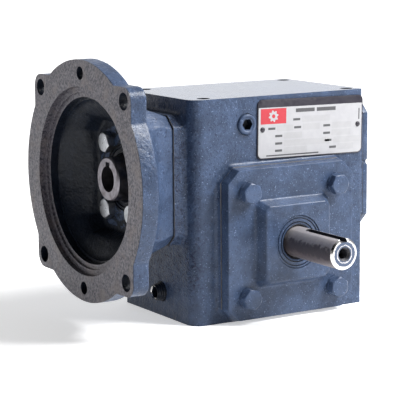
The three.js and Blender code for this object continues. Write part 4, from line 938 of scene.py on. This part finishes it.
def output_shaft():
    """Local Z runs out of the housing along the shaft."""
    place = at(FRONT, 0, 0, OUTPUT_Z)
    end = SHAFT_END
    rear = 46.5
    shaft = solid("output_shaft_ground", revolve([
        (0, end), (SHAFT_R - SHAFT_CHAMFER, end), (SHAFT_R, end - SHAFT_CHAMFER), (SHAFT_R, CUP_FACE + 1.5),
        (JOURNAL_R, CUP_FACE + 0.5), (JOURNAL_R, SHOULDER), (SHOULDER_R, SHOULDER), (SHOULDER_R, SEAT_HALF),
        (WHEEL_SEAT_R, SEAT_HALF), (WHEEL_SEAT_R, -SEAT_HALF), (JOURNAL_R, -SEAT_HALF),
        (JOURNAL_R, -rear), (JOURNAL_R - 1, -rear - 1), (0, -rear - 1),
    ], 128), place, shaft_steel)
    half = KEY_WIDTH / 2
    floor = SHAFT_R - KEYWAY_DEPTH
    start = KEYWAY_START + half
    turned = place @ Matrix.Rotation(KEYWAY_TURN, 4, "Z")
    # painted shade: the keyway, its runout and the centre hole take the near-black rubber look
    keyway = tool(block((-half, floor, start), (half, SHAFT_R + 5, end + 1)), turned, seal_rubber)
    mill = Matrix.Translation((0, 0, start)) @ Matrix.Rotation(-math.pi / 2, 4, "X")
    runout = tool(rod(half, floor, SHAFT_R + 5, 40), turned @ mill, seal_rubber)
    centre = tool(revolve([
        (0, end + 1), (CENTRE_MOUTH_R + 0.9, end + 1), (CENTRE_MOUTH_R, end), (CENTRE_R, end - 1.8),
        (CENTRE_R, end - 10), (0, end - 11.5),
    ], 48), place, seal_rubber)
    seat_floor = WHEEL_SEAT_R - KEYWAY_DEPTH
    slot = block((-half, seat_floor, -WHEEL_KEY_HALF), (half, WHEEL_SEAT_R + 1, WHEEL_KEY_HALF))
    cut(shaft, keyway, runout, centre, tool(slot, place, shaft_steel))
    soften(shaft, 0.15, 2)
    bright = len(shaft.data.materials)
    painted = bright + 1
    for look in (chamfer_steel, end_face_paint(end)):
        shaft.data.materials.append(look)
    edge = SHAFT_R - SHAFT_CHAMFER
    for face in shaft.data.polygons:
        radius = math.hypot(face.center.x, face.center.z - OUTPUT_Z)
        behind = face.center.y + end
        if behind < SHAFT_CHAMFER + 0.05 and radius > edge - 0.1 and face.normal.y < -0.3:
            face.material_index = bright
        elif behind < 0.2 and 3 < radius < edge + 0.1:
            face.material_index = painted
    place_piece(shaft, "output", ["output_shaft"])


WHEEL_TEETH = 20
WHEEL_PITCH_R = 29
WORM_LEAD = 2 * math.pi * WHEEL_PITCH_R / WHEEL_TEETH
WORM_OUTER_R, WORM_ROOT_R, WORM_CREST_HALF = 13.7, 7.4, 1.15
WORM_HALF_LENGTH = 1.5 * WORM_LEAD
QUILL_R, QUILL_BORE_R = 13.5, 7.94
QUILL_BORE_END, QUILL_KEYWAY_END = -62, -66
INPUT_JOURNAL_R, TAIL_JOURNAL_R = 12.5, 10
COLLAR_R, CORE_R, RUNOUT = 15.5, 12, 5


def worm_shaft():
    """Hollow quill, bearing seats and a single right-hand thread. Local Z is the shared frame's +X."""
    place = at(RIGHT, 0, 0, INPUT_Z)
    quill_end = corners("worm_shaft")[0].x
    tail_end = corners("worm_shaft")[1].x
    input_side = INPUT_BEARING_X - BEARING_HALF
    input_shoulder = INPUT_BEARING_X + BEARING_HALF + 0.1
    tail_shoulder = TAIL_BEARING_X - BEARING_HALF - 0.1
    thread_end = WORM_HALF_LENGTH - 1
    left = [
        (0, quill_end), (7, quill_end), (QUILL_R - 0.8, quill_end), (QUILL_R, quill_end + 0.8),
        (QUILL_R, input_side - 0.5), (INPUT_JOURNAL_R, input_side - 0.3), (INPUT_JOURNAL_R, input_shoulder),
        (COLLAR_R, input_shoulder), (CORE_R, input_shoulder + RUNOUT), (CORE_R, -thread_end - RUNOUT),
    ]
    right = [
        (CORE_R, thread_end + RUNOUT), (CORE_R, tail_shoulder), (TAIL_JOURNAL_R, tail_shoulder),
        (TAIL_JOURNAL_R, tail_end - 1), (TAIL_JOURNAL_R - 1, tail_end), (0, tail_end),
    ]

    def thread_radius(angle, x):
        along = x / WORM_LEAD - (angle + math.pi / 2) / (2 * math.pi)
        from_crest = abs(along - round(along)) * WORM_LEAD
        flank = WORM_OUTER_R - (from_crest - WORM_CREST_HALF) / math.tan(math.radians(20))
        fade = min(1, (WORM_HALF_LENGTH - abs(x)) / 1.2)
        thread = WORM_ROOT_R + (min(flank, WORM_OUTER_R) - WORM_ROOT_R) * max(fade, 0)
        root = WORM_ROOT_R - 0.2
        core = root + max(0, abs(x) - thread_end) * (CORE_R - root) / RUNOUT
        return max(thread, core, root)

    steps = 120
    span = thread_end + RUNOUT
    stations = [span * (2 * k / steps - 1) for k in range(1, steps)]
    segments = 72
    rings = [circle(r, z, segments) for r, z in left]
    rings += [circle(1, z, segments, thread_radius) for z in stations]
    rings += [circle(r, z, segments) for r, z in right]
    shaft = solid("worm_shaft_turned", skin(rings), place, worm_steel)
    key_half = KEY_WIDTH / 2
    cut(
        shaft,
        tool(rod(QUILL_BORE_R, quill_end - 1, QUILL_BORE_END, 72), place, worm_steel),
        # painted shade: the quill's keyway takes the near-black rubber look
        tool(block((-key_half, 0, quill_end - 1), (key_half, QUILL_BORE_R + KEYWAY_DEPTH, QUILL_KEYWAY_END)),
             place, seal_rubber),
    )
    soften(shaft, 0.2, 2, 40)
    place_piece(shaft, "worm", ["worm_shaft"])


def output_seal():
    """Cased lip seal with its outer face towards local Z = 0, body below it, painted over with the cover."""
    place = at(FRONT, 0, -RAISED_FACE + 0.5, OUTPUT_Z)
    lip = SHAFT_R + FIT
    case = solid("output_seal_case", revolve([
        (SEAL_R - 0.15, -SEAL_DEPTH), (SEAL_R - 0.15, -0.35), (SEAL_R - 0.45, 0), (15.1, 0),
        (14.95, -0.75), (14.55, -0.75), (14.4, -0.15), (12.7, -0.2), (12.55, -0.85), (12.15, -0.85),
        (12, -0.3), (11, -0.45), (lip + 0.55, -0.8), (lip + 0.45, -1.5), (lip, -1.9), (lip + 0.9, -4),
        (lip + 1.6, -SEAL_DEPTH),
    ], 128), place, cover_paint)
    # painted shade: a dark band in the seal's grooves; the lip is rubber
    for look in (seal_rubber, hollow_shade_paint):
        case.data.materials.append(look)
    for face in case.data.polygons:
        radius = math.hypot(face.center.x, face.center.z - OUTPUT_Z)
        depth = face.center.y + RAISED_FACE - 0.5
        if radius < lip + 0.7:
            face.material_index = 1
        elif 0.5 < depth < 2 and radius < SEAL_R - 1:
            face.material_index = 2
    place_piece(case, "casing", ["output_seal"])


def input_seal():
    place = at(LEFT, BELL_FLOOR + 0.5, 0, INPUT_Z)
    # painted shade: the seal, deep in the bell, takes the dark paint
    seal = solid("input_seal_case", revolve([
        (20, -7), (20, -0.4), (19.6, 0), (18.4, 0), (18, -0.8), (16.6, -0.9), (16.2, -0.2), (15.3, -0.2),
        (14.4, -1.2), (QUILL_R + FIT, -1.8), (QUILL_R + FIT, -2.6), (14.8, -4), (15.4, -7),
    ], 96), place, hollow_shade_paint)
    place_piece(seal, "casing", ["input_seal"])


# ---- End cap and nameplate


def end_cap():
    inner = RIGHT_BOSS_FACE + 0.4
    place = at(RIGHT, 0, 0, INPUT_Z)
    boss = octagon(BOSS_HALF_WIDTH, BOSS_HALF_HEIGHT, BOSS_CHAMFER)
    cap = solid("end_cap_plate", prism(boss, inner, END_CAP_FACE), place, cover_paint)
    spigot = revolve([(20, TAIL_BEARING_X + BEARING_HALF + FIT), (25.7, TAIL_BEARING_X + BEARING_HALF + FIT),
                      (25.7, inner + 1), (20, inner + 1)], 96)
    union(cap, tool(spigot, place, bore_steel))
    notch = tool(*along_x(1.6, inner - 1, END_CAP_FACE + 1, -BOSS_HALF_WIDTH, 1, 24), cover_paint)
    holes = [tool(*along_x(BOLT_HOLE_R, inner - 1, END_CAP_FACE + 1, sy * CAP_BOLT_Y, sz * CAP_BOLT_Z, 32),
                  bore_steel) for sy, sz in QUARTERS]
    cut(cap, notch, *holes)
    soften(cap, 0.6, 3)
    place_piece(cap, "casing", ["end_cap"])


PLATE_HALF_WIDTH, PLATE_HALF_HEIGHT = 39.6, 18.2
PLATE_THICKNESS = 0.7
PLATE_TILT = math.radians(1)
PIN_X = 35.9
INK = 0.03


def nameplate():
    """A printed plate with generic bars and fields in place of its words."""
    centre = (NAMEPLATE_LOW + NAMEPLATE_HIGH) / 2
    place = at(Matrix.Rotation(PLATE_TILT, 4, "Y") @ FRONT, centre.x, NAMEPLATE_HIGH.y, centre.z)
    outline = rounded_rectangle(PLATE_HALF_WIDTH, PLATE_HALF_HEIGHT, [3.4] * 4)
    plate = solid("nameplate_printed", prism(outline, 0, PLATE_THICKNESS), place, plate_black)
    looks = {"white": 1, "black": 0, "red": 2, "grey": 3, "text": 4}
    for look in (plate_white, plate_red, plate_grey, plate_text):
        plate.data.materials.append(look)
    holes = [tool(rod(1.2, -1, PLATE_THICKNESS + 1, 24), place @ Matrix.Translation((side * PIN_X, 0, 0)),
                  plate_black) for side in (-1, 1)]
    cut(plate, *holes)
    soften(plate, 0.18, 2)

    bm = bmesh.new()
    bm.from_mesh(plate.data)
    level = PLATE_THICKNESS

    def patch(points, ink, lift=1):
        """One layer of ink, a thin closed slab on the plate."""
        low, high = level - 0.02, level + INK * lift
        slab = skin([[(x, y, z) for x, y in points] for z in (low, high)])
        bmesh.ops.transform(slab, matrix=place, verts=slab.verts)
        bmesh.ops.recalc_face_normals(slab, faces=slab.faces)
        for face in slab.faces:
            face.material_index = looks[ink]
        part = bpy.data.meshes.new("ink")
        slab.to_mesh(part)
        slab.free()
        bm.from_mesh(part)
        bpy.data.meshes.remove(part)

    def bar(x0, y0, x1, y1, ink, lift=2):
        patch([(x0, y0), (x1, y0), (x1, y1), (x0, y1)], ink, lift)

    bar_low = 13.3
    white = [(x, min(y, bar_low)) for x, y in
             rounded_rectangle(PLATE_HALF_WIDTH - 0.7, PLATE_HALF_HEIGHT - 0.7, [0.01, 0.01, 2.7, 2.7])]
    white = list(dict.fromkeys(white))
    patch(white, "white")
    bar(-37.4, 3.2, -18.6, 12.6, "red")
    gear_centre = (-28, 7.9)
    teeth = 8
    gear = []
    for k in range(teeth * 4):
        r = 3.6 if k % 4 in (1, 2) else 2.7
        angle = 2 * math.pi * (k - 0.5) / (teeth * 4)
        gear.append((gear_centre[0] + r * math.cos(angle), gear_centre[1] + r * math.sin(angle)))
    patch(gear, "white", 3)
    hub = [(gear_centre[0] + 1.2 * math.cos(a), gear_centre[1] + 1.2 * math.sin(a))
           for a in (k * math.pi / 12 for k in range(24))]
    patch(hub, "red", 4)
    for x0, x1 in ((-11.5, 2.6), (4.2, 18.6)):
        bar(x0, 9.6, x1, 11.9, "text")
    fields = {
        5.2: ((-7, 14.4),),
        0.3: ((-25.4, -13.4), (-6.2, 6.8), (15.8, 31)),
        -4.4: ((-20.2, -6.6), (15.8, 30.4)),
        -9: ((-20.2, 14), (17, 38)),
        -13.4: ((-20.2, -2.6), (20.6, 32.8)),
    }
    for y, spans in fields.items():
        for x0, x1 in spans:
            bar(x0, y - 1.9, x1, y + 1.9, "grey")
            bar(x0 - 6.4, y - 0.7, x0 - 1.2, y + 0.7, "text")
    bar(-33, -16.6, 6, -15.8, "text")
    bar(36.4, 3, 37.2, 10, "text")
    bm.to_mesh(plate.data)
    bm.free()
    place_piece(plate, "casing", ["nameplate"])

    for i, side in enumerate((-1, 1), 1):
        node = f"nameplate_pin_{i}"
        low, high = corners(node)
        pin_centre = (low + high) / 2
        pin_place = at(FRONT, pin_centre.x, NAMEPLATE_LOW.y, pin_centre.z)
        pin = solid(f"{node}_domed", revolve([(0, -5), (0.9, -5), (0.9, 0.05), (1.7, 0.05), (1.62, 0.25),
                                              (1.3, 0.5), (0.7, 0.72), (0, 0.8)], 32), pin_place, plate_black)
        place_piece(pin, "casing", [node], sharp=50)


# ---- Build

motor_flange()
housing()
place_piece(cover("output_cover_casting", FRONT, True), "casing", ["output_cover"])
place_piece(cover("rear_cover_casting", REAR, False), "casing", ["rear_cover"])
fasteners()
socket_plug("fill_plug_socket", "fill_plug", FRONT, fastener_paint)
socket_plug("level_plug_socket", "level_plug", REAR, fastener_paint)
drain_plug()
output_shaft()
worm_shaft()
output_seal()
input_seal()
end_cap()
nameplate()

# ---- Floor, light and camera

FLOOR_HALF = 12000

floor_bm = bmesh.new()
bmesh.ops.create_grid(floor_bm, x_segments=1, y_segments=1, size=FLOOR_HALF)
floor = solid("floor", floor_bm, UP)
floor.data.transform(Matrix.Scale(MM, 4))
floor_look = Nodes("pale_floor", (0.9, 0.9, 0.9), 0.8)
floor_look.shader.inputs["Emission Color"].default_value = (1, 1, 1, 1)
reach = floor_look.vector("LENGTH", floor_look.point)
floor_look.feed(floor_look.shader.inputs["Emission Strength"], floor_look.span(reach, 250, 1600, 0.5, 1.0))
floor.data.materials.append(floor_look.material)

world = bpy.data.worlds.new("studio")
bpy.context.scene.world = world
world.use_nodes = True
sky = world.node_tree
background = sky.nodes["Background"]
direction = sky.nodes.new("ShaderNodeTexCoord").outputs["Generated"]
separate = sky.nodes.new("ShaderNodeSeparateXYZ")
sky.links.new(direction, separate.inputs[0])


def sky_span(socket, low, high, to_low, to_high):
    node = sky.nodes.new("ShaderNodeMapRange")
    node.interpolation_type = "SMOOTHSTEP"
    for place, value in zip(node.inputs[1:5], (low, high, to_low, to_high)):
        place.default_value = value
    sky.links.new(separate.outputs[socket], node.inputs[0])
    return node.outputs[0]


backdrop = sky.nodes.new("ShaderNodeMath")
backdrop.operation = "MULTIPLY"
sky.links.new(sky_span("Y", 0.1, 0.75, 0.0, 1.0), backdrop.inputs[0])
sky.links.new(sky_span("Z", 0.75, 0.3, 0.15, 0.62), backdrop.inputs[1])
ambient = sky.nodes.new("ShaderNodeMath")
ambient.operation = "ADD"
sky.links.new(backdrop.outputs[0], ambient.inputs[0])
sky.links.new(sky_span("X", -0.7, 0.5, 0.0, 0.34), ambient.inputs[1])
sky.links.new(ambient.outputs[0], background.inputs["Strength"])
background.inputs["Color"].default_value = (0.96, 0.97, 1.0, 1)


def softbox(name, place, target, size, power):
    light = bpy.data.lights.new(name, "AREA")
    light.shape = "RECTANGLE"
    light.size, light.size_y = (s * MM for s in size)
    light.energy = power
    lamp = bpy.data.objects.new(name, light)
    lamp.location = Vector(place) * MM
    lamp.rotation_mode = "QUATERNION"
    lamp.rotation_quaternion = (Vector(target) - Vector(place)).to_track_quat("-Z", "Y")
    bpy.context.scene.collection.objects.link(lamp)


softbox("key", place=(450, -405, 740), target=(0, 0, 70), size=(420, 420), power=22)

VIEW_AZIMUTH = math.radians(-31.61)
VIEW_ELEVATION = math.radians(9.40)
VIEW_ROLL = math.radians(-0.474)
CAMERA_PLACE = Vector((-578.2, -883.8, 241.3))
LENS, SENSOR_WIDTH = 150.96, 36

camera_data = bpy.data.cameras.new("camera")
camera_data.lens = LENS
camera_data.sensor_width = SENSOR_WIDTH
camera_data.clip_start = 0.05
camera_data.clip_end = 100
camera = bpy.data.objects.new("camera", camera_data)
back = Vector((math.sin(VIEW_AZIMUTH) * math.cos(VIEW_ELEVATION),
               -math.cos(VIEW_AZIMUTH) * math.cos(VIEW_ELEVATION), math.sin(VIEW_ELEVATION)))
level_right = Vector((math.cos(VIEW_AZIMUTH), math.sin(VIEW_AZIMUTH), 0))
level_up = back.cross(level_right)
right = level_right * math.cos(VIEW_ROLL) + level_up * math.sin(VIEW_ROLL)
up = level_up * math.cos(VIEW_ROLL) - level_right * math.sin(VIEW_ROLL)
turn = Matrix((right, up, back)).transposed().to_4x4()
camera.matrix_world = Matrix.Translation(CAMERA_PLACE * MM) @ turn
bpy.context.scene.collection.objects.link(camera)
bpy.context.scene.camera = camera
bpy.context.scene.view_settings.view_transform = "Standard"
